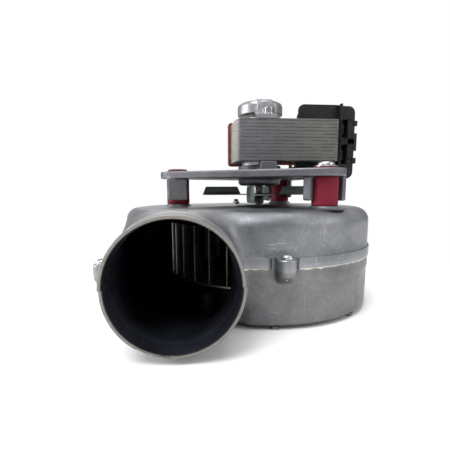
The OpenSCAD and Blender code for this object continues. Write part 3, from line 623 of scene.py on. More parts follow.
class Shell:
    """One half of the scroll as a closed skin: outside, inside, seam face and mouth."""

    def __init__(self, way, top, round_r, band, shift):
        """way is 1 upwards and -1 downwards from the seam. shift is the half's misfit at the mouth."""
        self.way, self.top, self.round_r, self.band, self.shift = way, top, round_r, band, shift
        self.solid = Solid()
        self.stations = stations()
        self.rows = [(-proud, h, spigot_height(h), lug) for proud, h, lug in band]
        self.rows += [(*row, 0.0) for row in wall_rows(band[-1][1] + 0.6, top, round_r, 9)]

    def z(self, h):
        return SEAM + self.way * h

    def place(self, x, y, h):
        """A point of the skin, with the slight misfit between the two castings at the mouth."""
        near = smooth((y + 60) / (MOUTH_Y + 60))
        return (x + self.shift * near, y, self.z(h))

    def wear(self, s, x, high, angle):
        """How far the rim is worn back and pulled in at a point. The lower left is chipped."""
        z = high * self.way
        worn = abs(rough((x, z, 3), 2.2, 5) + 0.6 * rough((x, z, 9), 0.9, 8))
        chip = 1.0 if self.way < 0 < s.inward.x and 58 < angle < 84 else 0.0
        depth = s.at.y - MOUTH_Y
        near = 1 - depth / 1.3
        pull = 0.30 * (1 - depth / 0.35) if depth < 0.35 else 0.0
        return (0.10 + 0.14 * worn + chip * 1.6 * worn) * near, pull + (0.10 + chip * 0.8) * worn * near

    def outer(self, s, row):
        inset, h, angle, lug = row
        a = math.radians(angle)
        t = s.round_part
        if h <= self.band[-1][1]:
            inset *= 1 - smooth((t - 0.9) / 0.1)
        high = mix(t, h, OUTLET_R * math.sin(a))
        point = s.at + s.inward * mix(t, inset, OUTLET_R * (1 - math.cos(a)))
        if s.lug and lug > 0:
            point = point.lerp(s.lug, lug)
        y = point.y
        if t >= 1.0 and s.at.y - MOUTH_Y < 1.3:
            back, pull = self.wear(s, point.x, high, angle)
            y += back
            scale = 1 - pull / OUTLET_R
            point.x = mix(scale, OUTLET_X, point.x)
            high *= scale
        else:
            wave = 0.10 * rough((point.x, point.y, high * self.way), 17, 2)
            point += s.inward * (abs(wave) * (1 - t))
        return self.place(point.x, y, high)

    def inner(self, s, row):
        _, h, angle, _ = row
        a = math.radians(angle)
        t = s.round_part
        at_mouth = s.at.y - MOUTH_Y < 0.2
        bore = mix(smooth((s.at.y - STEP_Y) / 14), BORE_R - 0.55, OUTLET_R - WALL)
        if s.at.y < STEP_Y:
            bore = BORE_R + (0.35 if at_mouth else 0)
        straight = self.top - self.round_r
        small = max(0.6, self.round_r - WALL)
        if h <= straight:
            deep, high = WALL, h * (self.top - WALL - small) / straight
        else:
            turn = math.asin(min(1.0, (h - straight) / self.round_r))
            deep = WALL + small * (1 - math.cos(turn))
            high = self.top - WALL - small + small * math.sin(turn)
        deep = mix(t, deep, OUTLET_R - bore * math.cos(a))
        high = mix(t, high, bore * math.sin(a))
        point = s.at + s.inward * deep
        y = s.at.y + (0.12 if at_mouth else 0)
        return self.place(point.x, y if s.inward.y == 0 else point.y, high)

    def build(self):
        out, ins = [], []
        for s in self.stations:
            out.append(self.solid.ring([self.outer(s, row) for row in self.rows]))
            ins.append(self.solid.ring([self.inner(s, row) for row in self.rows]))
        for i, (s, after) in enumerate(zip(self.stations, self.stations[1:])):
            slot = CUT if min(s.at.y, after.at.y) < MOUTH_Y + 0.5 else OUTSIDE
            self.solid.bridge(out[i], out[i + 1], closed=False, slot=slot)
            self.solid.bridge(ins[i], ins[i + 1], closed=False, slot=INSIDE)
            self.solid.face([out[i][0], out[i + 1][0], ins[i + 1][0], ins[i][0]])
        for end in (0, -1):
            self.solid.bridge(out[end], ins[end], closed=False, slot=CUT)
        self.out_edge = [column[-1] for column in out]
        self.in_edge = [column[-1] for column in ins]

    def cap(self, edge, holes, skin, slot):
        """Closes the middle of the skin inside its last row, leaving round holes as rings of vertices."""
        solid = self.solid
        loop = []
        for index in edge:
            x, y, _ = solid.verts[index]
            if y > NECK_Y + 0.1 and (not loop or math.dist(solid.verts[loop[-1]][:2], (x, y)) > 0.05):
                loop.append(index)
        crown = [index for index, s in zip(edge, self.stations) if abs(s.at.y - NECK_Y) < 0.01]
        loop = [crown[0]] + loop
        flat = self.z(self.top - skin)
        points = [Vector(solid.verts[i][:2]) for i in loop]
        edges = [(i, (i + 1) % len(loop)) for i in range(len(loop))]
        ids = list(loop)
        for centre, r, count in holes:
            base = len(points)
            ring = [Vector(centre) + polar(r, 360 * k / count) for k in range(count)]
            points += ring
            ids += solid.ring([(p.x, p.y, flat) for p in ring])
            edges += [(base + k, base + (k + 1) % count) for k in range(count)]
        border = len(points)
        outline = points[:len(loop)]
        for gx in range(-80, 76, 6):
            for gy in range(-80, 76, 6):
                p = Vector((gx + 0.37 * (gy % 5), gy))
                clear = all((p - Vector(c)).length > r + 2 for c, r, _ in holes)
                if clear and inside(p, outline) and far(p, outline, 2.5):
                    points.append(p)
        verts, _, faces, origin, _, _ = geometry.delaunay_2d_cdt(points, edges, [], 0, 1e-5)
        height = []
        for source in origin:
            on_border = source and 0 <= source[0] < border
            height.append(solid.verts[ids[source[0]]][2] if on_border else flat)
        around = [set() for _ in verts]
        kept = []
        for f in faces:
            middle = sum((verts[i] for i in f), Vector((0, 0))) / 3
            in_hole = any((middle - Vector(c)).length < r * 0.999 for c, r, _ in holes)
            if inside(middle, outline) and not in_hole:
                kept.append(f)
                for i in range(3):
                    around[f[i]] |= {f[i - 1], f[(i + 1) % 3]}
        free = [i for i, source in enumerate(origin) if around[i] and not (source and source[0] < border)]
        for _ in range(80):
            for i in free:
                height[i] = sum(height[j] for j in around[i]) / len(around[i])
        lookup = {}
        for i, source in enumerate(origin):
            if source and source[0] < border:
                lookup[i] = ids[source[0]]
            elif around[i]:
                lookup[i] = solid.ring([(verts[i].x, verts[i].y, height[i])])[0]
        for f in kept:
            solid.face([lookup[i] for i in f], slot)


def inside(p, outline):
    hit = False
    for i in range(len(outline)):
        a, b = outline[i], outline[i - 1]
        if (a.y > p.y) != (b.y > p.y) and p.x < (b.x - a.x) * (p.y - a.y) / (b.y - a.y) + a.x:
            hit = not hit
    return hit


def far(p, outline, gap):
    return all((p - q).length > gap for q in outline)


# Rows of the band at the seam: how far it stands out, its height, and how much a lug shows there.
UPPER_BAND = [(0.75, 0.0, 1.0), (1.0, 0.22, 1.0), (1.0, 2.6, 1.0), (1.0, 4.9, 1.0), (0.98, 5.3, 0.985),
              (0.93, 5.56, 0.95), (0.88, 5.6, 0.10), (0.72, 5.66, 0.03), (0.45, 5.74, 0.0), (0.12, 5.82, 0.0),
              (0.0, 6.1, 0.0)]
LOWER_BAND = [(0.30, 0.0, 1.0), (0.5, 0.2, 1.0), (0.5, 1.6, 0.97), (0.5, 3.0, 0.88), (0.5, 4.2, 0.72),
              (0.48, 5.2, 0.52), (0.44, 6.2, 0.30), (0.36, 7.1, 0.12), (0.26, 7.8, 0.03), (0.16, 8.2, 0.0),
              (0.06, 8.7, 0.0), (0.0, 9.4, 0.0)]


def upper_half():
    shell = Shell(1, ROOF - SEAM, SHOULDER_R, UPPER_BAND, -0.2)
    shell.build()
    seats = [tuple(polar(MOUNT_R, a)) for a in MOUNT_ANGLES]
    holes = [((0, 0), ROOF_DISH_R, 48), (TEST, TEST_FOOT_R, 24)] + [(c, SEAT_FOOT_R, 40) for c in seats]
    shell.cap(shell.out_edge, holes, 0, OUTSIDE)
    shell.cap(shell.in_edge, [((0, 0), SHAFT_HOLE_R, 48)], WALL, INSIDE)
    solid = shell.solid
    for c in seats:
        solid.lathe([(SEAT_FOOT_R, 0), (10, 0.12), (9, 0.5), (8.2, 1.1), (7.75, 1.7), (7.6, 1.92),
                     (7.4, SEAT - ROOF), (0, SEAT - ROOF)], c, 40, base=ROOF)
    solid.lathe([(TEST_FOOT_R, 0), (2.9, 0.15), (2.65, 0.5), (2.5, 1.9), (2.2, TEST_H), (0, TEST_H)], TEST, 24,
                base=ROOF)
    solid.lathe([(ROOF_DISH_R, 0), (16.0, 0.1), (15.6, 0.45), (15.2, 0.6), (10.2, 0.6), (9.8, 0.5), (9.3, 0.1),
                 (6.9, 0), (6.3, -0.15), (SHAFT_HOLE_R, -0.5), (SHAFT_HOLE_R, -WALL)], base=ROOF)
    solid.make("scroll_upper_casting", [CAST, RIM, INSIDE_SHADE], ["scroll_upper_half"], "cast_aluminium")


def lower_half():
    shell = Shell(-1, SEAM, SOLE_R, LOWER_BAND, 0.28)
    shell.build()
    taps = [tuple(polar(TAP_CIRCLE_R, a)) for a in (45, 135, 225, 315)]
    feet = [tuple(polar(scroll_radius(a) - 3.6, a)) for a in FOOT_ANGLES]
    holes = [((0, 0), RECESS_R, 96)] + [(c, 3.2, 24) for c in taps] + [(c, FOOT_R, 24) for c in feet]
    shell.cap(shell.out_edge, holes, 0, OUTSIDE)
    shell.cap(shell.in_edge, [((0, 0), BELL_R, 96)] + [(c, 4.3, 24) for c in taps], WALL, INSIDE)
    solid = shell.solid
    solid.lathe([(RECESS_R, 0), (47.2, 0.1), (46.9, 0.45), (43.4, 0.5), (42.4, 0.55), (41, 1), (39.2, 2.3),
                 (38.2, 4.2), (INLET_R, 6.5), (INLET_R, 12.5), (38.4, 12.95), (39.5, 13), (39.9, 12.7),
                 (BELL_R, 12.2), (BELL_R, WALL)], (0, 0), 96)
    for c in taps:
        solid.lathe([(3.2, 0), (2.9, 0.25), (1.95, 0.3), (TAP_R, 0.55), (TAP_R, 9.6), (0, 10.0)], c, 24)
        solid.lathe([(4.3, WALL), (4.25, 11.7), (4.0, 12.0), (0, 12.0)], c, 24, INSIDE)
    for c in feet:
        solid.lathe([(FOOT_R, 0), (2.25, -0.12), (2.1, -0.5), (2, -1.65), (1.75, -1.93), (1.4, -2), (0, -2)],
                    c, 24)
    solid.make("scroll_lower_casting", [CAST_LOWER, RIM, INSIDE_SHADE], ["scroll_lower_half"], "cast_aluminium")


def stop_collar():
    """Narrow collar behind the spigot, where a flue pipe pushed over it stops."""
    root_r = OUTLET_R - 0.5
    profile = ((root_r, -1.95), (30.15, -1.95), (30.45, -1.6), (30.45, -0.1), (30.2, 0.45), (root_r, 0.5))
    for way, name in ((1, "upper"), (-1, "lower")):
        solid = Solid()
        sections = []
        for k in range(49):
            turn = polar(1, 180 * k / 48)
            sections.append([(OUTLET_X + r * turn.x, NECK_Y + y, SEAM + way * (0.02 + r * turn.y))
                             for r, y in profile])
        solid.loft(sections)
        solid.make("stop_collar_" + name, [CAST], slot="cast_aluminium")


def seam_bead():
    """Rough flash that squeezed out under the upper casting's band."""
    runs = [[]]
    for s in stations():
        if s.round_part > 0.93 or s.lug:
            runs.append([])
            continue
        n = abs(rough((s.at.x, s.at.y, 0), 2.6, 1)) + 0.6 * abs(rough((s.at.x, s.at.y, 4), 1.1, 6))
        proud = 0.72 + 0.25 * min(1.0, n * 1.3)
        fall = 0.30 + 1.3 * n
        rim = [(0.3, 0.0), (proud, -0.02), (proud + 0.02, -0.3 * fall), (0.62, -0.8 * fall), (0.42, -fall)]
        runs[-1].append([(*(s.at - s.inward * (d + 0.02)), SEAM + z) for d, z in rim])
    solid = Solid()
    for run in runs:
        solid.loft(run, ends=False)
    solid.make("seam_flash_bead", [SEALANT], slot="cast_aluminium", sharp=60)


# ------------------------------------------------------------ screws and feet

PLATE_Z = 78.1
PLATE_TOP = 82.5
SCREW_END_Z = ROOF - 5.4
# Where the bridge's screws stand, in front of and behind the shaft.
POST_X = 1.8
POST_Y = 17.2


def pan_head(solid, centre, z, r, h):
    """Rounded head with a cross recess. The profile is in parts of the radius and the height."""
    segments = 48
    profile = [(1, 0), (1, 0.3), (0.975, 0.5), (0.9, 0.7), (0.78, 0.86), (0.62, 0.96), (0.52, 1), (0.46, 1),
               (0.36, 1), (0.26, 1), (0.17, 1), (0.08, 1)]
    rings = [solid.ring([(*centre, z)]) * segments]
    for wide, high in profile:
        points = []
        for k in range(segments):
            p = polar(r * wide, 360 * k / segments)
            recess = wide < 0.5 and min(abs(p.x), abs(p.y)) < r * 0.12
            points.append((centre[0] + p.x, centre[1] + p.y, z + h * (high - 0.42 if recess else high)))
        rings.append(solid.ring(points))
    rings.append(solid.ring([(*centre, z + h * 0.55)]) * segments)
    for a, b in zip(rings, rings[1:]):
        solid.bridge(a, b)


def hex_limit(across, turn):
    """Keeps a lathe's radius inside a hexagon that is across wide."""
    return lambda r, a: min(r, across / 2 / math.cos(math.radians((a + turn) % 60 - 30)))


def hex_head(solid, centre, z, across, h, turn):
    """Hexagon head with its corners turned off."""
    corner = across / 2 / math.cos(math.radians(30))
    parts = [(0, 0), (0.97, 0), (1, 0.15), (1, h - 0.7), (0.95, h - 0.28), (0.88, h - 0.05), (0.84, h),
             (0.45, h), (0.4, h - 0.25), (0, h - 0.3)]
    profile = [(corner * wide, up) for wide, up in parts]
    solid.lathe(profile, centre, 72, shape=hex_limit(across, turn), base=z)


def lug_centres():
    spots = [polar(scroll_radius(a) + LUG_R, a) for a in LUG_ANGLES]
    wall_x = mix(SIDE_LUG_Y / NECK_Y, -LEFT_X, OUTLET_X - OUTLET_R)
    return spots + [Vector((wall_x - SIDE_REACH, SIDE_LUG_Y))]


def scroll_screws():
    solid = Solid()
    top = SEAM + LUG_UP
    low = SEAM - LUG_DOWN - 0.2
    for c in lug_centres():
        solid.lathe([(0, 0), (3.1, 0), (3.2, 0.12), (3.15, 0.35), (2.6, 0.4)], c, base=top)
        pan_head(solid, c, top + 0.38, 2.85, 1.95)
        solid.lathe([(0, low), (0.9, low), (1.45, low + 0.7), (1.45, SEAM)], c, 24)
    solid.make("scroll_pan_screws", [ZINC], ["scroll_screws"], "zinc_steel")


def test_screw():
    solid = Solid()
    pan_head(solid, TEST, ROOF + TEST_H, 1.8, 1.8)
    solid.make("test_point_pan_screw", [DARK_STEEL], ["test_point_screw"], "dark_steel")


def isolators():
    """Moulded silicone feet: crowned body, neck through the bracket, and a lip above it."""
    neck = PLATE_Z - SEAT
    lip = box_mm("isolators")[1][2] - SEAT
    solid = Solid()
    for a in MOUNT_ANGLES:
        profile = [(3.3, 0), (6.3, 0), (6.85, 0.16), (7.12, 0.5), (7.26, 1.1)]
        profile += [(7.27 - 0.10 * math.sin(math.pi * k / 6), mix(k / 6, 1.6, neck - 1.4)) for k in range(7)]
        profile += [(7.22, neck - 0.8), (7.05, neck - 0.3), (6.6, neck), (5.0, neck), (5.0, lip - 0.8),
                    (6.2, lip - 0.8), (6.68, lip - 0.62), (6.8, lip - 0.35), (6.6, lip - 0.1), (6.2, lip),
                    (3.3, lip)]
        solid.lathe(profile + [profile[0]], polar(MOUNT_R, a), 56, base=SEAT)
    solid.make("isolator_feet", [SILICONE], ["isolators"], "silicone")


def isolator_screws():
    """Two low dark heads with a hexagon socket, and one bright washer head at the front right."""
    top = box_mm("isolators")[1][2]
    shank = [(0, SCREW_END_Z), (2.0, SCREW_END_Z), (2.0, top), (0, top)]
    dark = Solid()
    for a in MOUNT_ANGLES[:2]:
        c = polar(MOUNT_R, a)
        dark.lathe([(0, 0), (5.9, 0), (6, 0.1), (5.98, 0.55), (5.75, 0.8), (5.4, 0.9), (2.3, 0.9), (2.15, 0.8)],
                   c, 56, base=top)
        dark.lathe([(2.15, 0.8), (2.1, 0.25), (0, 0.2)], c, 56, shape=hex_limit(3.8, 0), base=top)
        dark.lathe(shank, c, 24)
    dark.make("isolator_socket_screws", [DARK_STEEL], ["isolator_screws"], "dark_steel")
    bright = Solid()
    c = polar(MOUNT_R, MOUNT_ANGLES[2])
    bright.lathe([(0, 0), (6.3, 0), (6.5, 0.12), (6.5, 0.42), (6.2, 0.66), (5.6, 0.8), (4.7, 0.9), (4.6, 0.95)],
                 c, 56, base=top)
    pan_head(bright, c, top + 0.75, 4.75, 2.2)
    bright.lathe(shank, c, 24)
    bright.make("isolator_washer_screw", [ZINC], ["washer_head_screw"], "zinc_steel")


# --------------------------------------------------------- bracket and bridge

def motor_bracket():
    """Three-armed casting: plate with holes, skirts beside each foot, bearing boss and posts."""
    solid = Solid()
    outline = []
    for a in MOUNT_ANGLES:
        outline += arc(polar(MOUNT_R, a), 11, a - 60, a + 60, 14)
    solid.prism(outline, PLATE_Z, PLATE_TOP, 0.35)
    skirt_z = 64.7
    for a in MOUNT_ANGLES:
        turn = Matrix.Rotation(math.radians(a), 4, "Z") @ Matrix.Translation((MOUNT_R, 0, 0))
        solid.block((-5.7, 7.5, skirt_z), (6.5, 10.5, PLATE_Z + 1), 0.5, turn)
        solid.block((-7.0, -10.5, skirt_z + 0.3), (-1.6, -7.5, PLATE_Z + 1), 0.5, turn)
    boss_top = 86.5
    solid.lathe([(0, 73.7), (11.5, 73.7), (13.0, 74.2), (13.8, 75.2), (14.0, 76.6), (14.0, boss_top - 0.5),
                 (13.5, boss_top), (0, boss_top)], (0, 0), 64)
    post_low, post_high = PLATE_TOP - 0.4, STACK_LOW[2] - 0.02
    steps = 8
    for side in (-1, 1):
        y = side * POST_Y
        for k in range(steps):
            w = mix(k / steps, 5.8, 4.75)
            low, high = mix(k / steps, post_low, post_high), mix((k + 1) / steps, post_low, post_high)
            solid.block((POST_X - w, y - 3.5, low - 0.05), (POST_X + w, y + 3.5, high), 0)
    piece = solid.make("bracket_casting", [CAST_BRACKET], ["motor_bracket"], "cast_aluminium")
    cut = Solid()
    cut.block((20.0, -14.0, PLATE_Z - 3), (80.0, 14.0, PLATE_TOP + 3), 0.6)
    for a in MOUNT_ANGLES:
        hole = [(0, PLATE_Z - 1), (5.0, PLATE_Z - 1), (5.0, PLATE_TOP + 1), (0, PLATE_TOP + 1)]
        cut.lathe(hole, polar(MOUNT_R, a), 40)
    cut.lathe([(0, 72), (4.5, 72), (4.5, 76.2), (6, 76.2), (6, 82.2), (9, 82.2), (9, 85.4), (12.3, 85.4),
               (12.3, 90), (0, 90)], (0, 0), 64)
    for side in (-1, 1):
        cut.lathe([(0, PLATE_Z - 3), (2.1, PLATE_Z - 3), (2.1, 92), (0, 92)], (POST_X, side * POST_Y), 24)
    tool = cut.make("bracket_cut", [CAST_BRACKET])
    for solid_piece in (piece, tool):
        melt(solid_piece, 0.5)
        apply(solid_piece)
    carve(piece, tool, "MANIFOLD")
    melt(piece, 0.42)
    relax = piece.modifiers.new("relax", "SMOOTH")
    relax.iterations = 1
    thin = piece.modifiers.new("thin", "DECIMATE")
    thin.ratio = 0.35
    apply(piece)
    finish_mesh(piece.data, 60)


def bearing_bridge():
    """Round bearing cap with a strap over it that runs down to a foot at the front and at the back."""
    top = box_mm("upper_bearing_bridge")[1][2]
    base = STACK_HIGH[2]
    r = 14.4
    round_r = 3.4
    low = 118.0
    dome = Solid()
    soft_edge = [tuple(p) for p in arc((r - round_r, top - 0.6 - round_r), round_r, 0, 90, 6)]
    dome.lathe([(9.0, low), (r - 0.5, low), (r, low + 0.35), *soft_edge, (0, top - 0.56)], (0, 0), 72)
    dome.lathe([(9.0, low), (9.0, low + 1), (6.0, low + 1), (6.0, 125.0), (0, 125.0)], (0, 0), 72)
    dome.make("bearing_cap_casting", [CAST_BRIGHT], ["upper_bearing_bridge"], "cast_aluminium")

    # Half of the strap: its upper face and underside as (y, z), and half its width there, on top and below.
    half = [((0.0, top), (0.0, top - 0.8), 4.1, 5.9),
            ((11.4, top), (10.4, top - 3.5), 4.2, 6.1),
            ((12.9, top - 0.7), (10.9, top - 4.0), 4.3, 6.2),
            ((14.1, top - 3.0), (11.6, top - 6.5), 4.5, 6.25),
            ((14.8, base + 8.0), (12.2, base + 7.0), 5.0, 6.3),
            ((15.4, base + 4.6), (12.6, base + 3.4), 5.6, 6.4),
            ((16.6, base + 2.9), (13.2, base + 0.02), 6.2, 6.4),
            ((19.0, base + 2.5), (18.6, base + 0.02), 6.2, 6.3),
            ((21.2, base + 2.5), (21.2, base + 0.02), 5.9, 6.0)]
    x = 0.4
    sections = []
    for side, row in [(-1, row) for row in half[:0:-1]] + [(1, row) for row in half]:
        (y0, z0), (y1, z1), flat, wide = row
        middle = (mix(0.55, y0, y1), mix(0.55, z0, z1))
        corners = [(x - wide, y1, z1), (x - wide, *middle), (x - flat, y0, z0), (x + flat, y0, z0),
                   (x + wide, *middle), (x + wide, y1, z1)]
        sections.append([(cx, side * cy, cz) for cx, cy, cz in corners])
    strap = Solid()
    strap.loft(sections)
    soften(strap.make("bearing_strap_casting", [CAST_BRIGHT], slot="cast_aluminium"), 0.35, 30)

    screws = Solid()
    washer_z = base + 2.5
    for side in (-1, 1):
        c = (POST_X, side * POST_Y)
        screws.lathe([(0, washer_z), (3.6, washer_z), (3.65, washer_z + 0.1), (3.6, washer_z + 0.4),
                      (3.2, washer_z + 0.5)], c)
        hex_head(screws, c, washer_z + 0.4, 6.3, 3.5, 12)
        screws.lathe([(0, PLATE_Z + 0.6), (1.6, PLATE_Z + 0.6), (2.0, PLATE_Z + 1.0), (2.0, washer_z),
                      (0, washer_z)], c, 32)
    screws.make("bridge_hex_screws", [ZINC], ["bridge_screws"], "zinc_steel")


# -------------------------------------------------------------------- motor

BORE_SEGMENTS = 96
STATOR_BORE_R = 13.0


def stack_plan(grow):
    """Plan of one lamination of the C-shaped frame, with rounded outer corners."""
    x0, y0 = STACK_LOW[0] - grow, STACK_LOW[1] - grow
    x1, y1 = STACK_HIGH[0] + grow, STACK_HIGH[1] + grow
    r = 2.0
    gap_x, gap_y = 18, 11 + grow
    gap = [(x1, -gap_y), (gap_x, -gap_y), (gap_x, gap_y), (x1, gap_y)]
    return [(x0 + 2.4, y0), *arc((x1 - r, y0 + r), r, -90, 0, 6), *gap, *arc((x1 - r, y1 - r), r, 0, 90, 6),
            (x0 + 2.4, y1), (x0, y1 - 8), (x0, y0 + 8)]


def stator():
    """Each lamination is its own thin sheet; a few sit proud or short, as stamped sheets do."""
    rng = random.Random(21)
    solid = Solid()
    bore = [tuple(polar(STATOR_BORE_R, 360 * k / BORE_SEGMENTS)) for k in range(BORE_SEGMENTS)]
    for i in range(SHEETS):
        z0 = STACK_LOW[2] + i * SHEET_PITCH
        grow = -0.02 - 0.05 * rng.random() - (0.06 if i % 3 == 2 else 0.0)
        outline = stack_plan(grow)
        count = len(outline)
        heights = (z0 + (0.04 if i % 3 else 0.10), z0 + SHEET_PITCH - 0.02)
        low, high = (solid.ring([(x, y, z) for x, y in outline]) for z in heights)
        low_bore, high_bore = (solid.ring([(x, y, z) for x, y in bore]) for z in heights)
        solid.bridge(low, high)
        solid.bridge(low_bore, high_bore)
        points = [Vector(p) for p in outline + bore]
        edges = [(k, (k + 1) % count) for k in range(count)]
        edges += [(count + k, count + (k + 1) % BORE_SEGMENTS) for k in range(BORE_SEGMENTS)]
        verts, _, faces, origin, _, _ = geometry.delaunay_2d_cdt(points, edges, [], 0, 1e-5)
        for f in faces:
            middle = sum((verts[j] for j in f), Vector((0, 0))) / 3
            if middle.length > STATOR_BORE_R - 0.03 and inside(middle, points[:count]):
                for ids in (low + low_bore, high + high_bore):
                    solid.face([ids[origin[j][0]] for j in f])
    solid.make("lamination_sheets", [LAMINATED], ["stator_stack"], "laminations", 0.0005)


def shading_rings():
    """Bent copper bars round the pole tips, each a closed loop with rounded corners."""
    solid = Solid()
    low, high = box_mm("shading_rings")
    half_bar = 0.75
    z0, z1 = low[2] + half_bar, high[2] - half_bar
    outer_x = STACK_LOW[0] - 1.125
    for turn in (0, 180):
        spin = Matrix.Rotation(math.radians(turn), 4, "Z")
        for outer_y, leg in ((7.4, (-11.9, 8.6)), (9.7, (-7.6, 12.6))):
            a = Vector((outer_x, outer_y))
            b = Vector(leg)
            path = []
            for centre, z in ((a, z0), (a, z1), (b, z1), (b, z0)):
                inward = (b - a).normalized() * (1 if centre is a else -1)
                up = 1 if z == z0 else -1
                for k in range(4):
                    t = math.radians(30 * k)
                    along, rise = 1 - math.cos(t), 1 - math.sin(t)
                    if (centre is a) == (z == z0):
                        along, rise = rise, along
                    p = centre + inward * along
                    path.append(Vector((p.x, p.y, z + up * rise)))
            side = Vector((-(b - a).y, (b - a).x, 0)).normalized()
            middle = Vector(((a.x + b.x) / 2, (a.y + b.y) / 2, (z0 + z1) / 2))
            rings = []
            for i, p in enumerate(path):
                along = (path[(i + 1) % len(path)] - path[i - 1]).normalized()
                out = side.cross(along)
                if out.dot(p - middle) < 0:
                    out = -out
                section = []
                for k in range(12):
                    c, s = polar(1, 30 * k)
                    soft = half_bar / max(abs(c), abs(s)) ** 0.75
                    section.append(spin @ (p + side * (c * soft) + out * (s * soft)))
                rings.append(solid.ring(section))
            for i in range(len(rings)):
                solid.bridge(rings[i - 1], rings[i])
    solid.make("shading_loops", [COPPER], ["shading_rings"], "copper")


def rounded_xz(x0, x1, z0, z1, radii):
    """Outline seen from the front with a radius for each corner: low left, low right, top right, top left."""
    points = []
    centres = [(x0, z0, 1, 1, 180), (x1, z0, -1, 1, 270), (x1, z1, -1, -1, 0), (x0, z1, 1, -1, 90)]
    for (x, z, sx, sz, start), r in zip(centres, radii):
        points += arc((x + sx * r, z + sz * r), r, start, start + 90, 6)
    return points


UPRIGHT = Matrix(((1, 0, 0, 0), (0, 0, -1, 0), (0, 1, 0, 0), (0, 0, 0, 1)))


def plate_xz(solid, outline, y0, y1, bevel=0.35):
    """A plate drawn in X and Z, between two depths along Y."""
    solid.prism(outline, -y1, -y0, bevel, 2, UPRIGHT)


def bobbin():
    """Two flanges with a raised rim, joined by a square tube that the wire is wound on."""
    low, high = box_mm("coil_bobbin")
    x1, z0, z1 = high[0], low[2], high[2]
    solid = Solid()
    for left, y, face_y, out in ((low[0], -10.9, -10.9, -1), (low[0] + 5.5, 9.3, 10.9, 1)):
        plate_xz(solid, rounded_xz(left, x1, z0, z1, (3.5, 0.4, 0.4, 3.5)), y, y + 1.6)
        near, far_y = sorted((face_y - out * 0.3, face_y + out * 0.08))
        for a, b, c, d in ((left, left + 1.0, z0 + 3, z1 - 3), (left + 3, x1 - 1, z1 - 1.0, z1),
                           (left + 3, x1 - 1, z0, z0 + 1.0)):
            solid.block((a, near, c), (b, far_y, d), 0.15)
    for a, b, c, d in ((29.2, 47.1, 87.2, 88.3), (29.2, 47.1, 113.7, 114.8), (29.2, 30.3, 87.2, 114.8),
                       (45.9, 47.1, 87.2, 114.8)):
        solid.block((a, -10.9, c), (b, 10.9, d), 0.2)
    solid.make("bobbin_moulding", [PLASTIC], ["coil_bobbin"], "black_plastic")


def terminal_housing():
    """Connector housing with ribs, sockets and a stepped edge."""
    low, high = box_mm("terminal_housing")
    z0, z1 = (corner[2] for corner in box_mm("coil_bobbin"))
    x0, x1, y0, y1 = 48.6, 59.2, -13.0, 10.9
    top = z1 - 0.8
    body = Solid()
    plate_xz(body, rounded_xz(x0 + 1.8, x1, z0, top, (0.3, 4.2, 4.2, 0.3)), y0 + 0.6, y1, 0.5)
    body.block((x0, y0 + 0.2, z0 + 0.2), (x0 + 2.2, y1, z1), 0.4)
    body.block((x0 + 0.1, low[1], STACK_HIGH[2] + 0.5), (x0 + 1.7, y0 + 1.5, high[2] - 0.1), 0.3)
    for a, b in ((111.0, 114.2), (95.6, 106.5), (87.6, 91.2)):
        body.block((x1 - 1.2, y0 + 0.02, a), (high[0] - 0.02, y0 + 12, b), 0.3)
    body.block((x0 + 5.8, y0, 91.2), (x1 - 0.2, y0 + 1.2, 111.0), 0.3)
    body.block((x0 + 1.2, y0, 99.6), (x1 - 0.2, y0 + 1.2, 103.2), 0.3)
    body.block((x0 + 1.2, y0, 115.0), (x1 - 2.4, y0 + 0.8, 116.0), 0.2)
    piece = body.make("terminal_housing_moulding", [PLASTIC], ["terminal_housing"], "black_plastic")
    cut = Solid()
    for a, b in ((103.8, 114.6), (87.3, 99.2)):
        cut.block((x0 + 1.9, y0 - 2, a), (x0 + 5.9, y0 + 16, b), 0)
    cut.block((44.0, y0 - 1, 87.0), (x0, y1 + 4, 115.0), 0)
    for k in range(4):
        cut.block((x1 - 0.5, y0 + 14.2 + k * 2.2, z0 + 8), (x1 + 2, y0 + 15.2 + k * 2.2, top - 8), 0)
    carve(piece, cut.make("housing_cut", [PLASTIC]), "EXACT")
    finish_mesh(piece.data, 35)
    soften(piece, 0.22, 50)


def winding():
    """Wire wound on the bobbin, with a lumpy wrapped surface."""
    low, high = box_mm("coil_winding")
    solid = Solid()
    sections = []
    steps = 36
    for k in range(steps + 1):
        y = mix(k / steps, low[1] + 0.02, high[1] - 0.02)
        shrink = 0.10 + 0.12 * (k % 2) + (0.25 if k in (0, steps) else 0)
        outline = rounded_xz(low[0] + 4.0 + shrink, high[0] - 0.02, low[2] + shrink, high[2] - shrink,
                             (4, 0.4, 0.4, 4))
        sections.append([(x, y, z) for x, z in outline])
    solid.loft(sections)
    solid.make("coil_wire", [WIRE], ["coil_winding"], "copper")


# ---------------------------------------------------------- fan and the rest

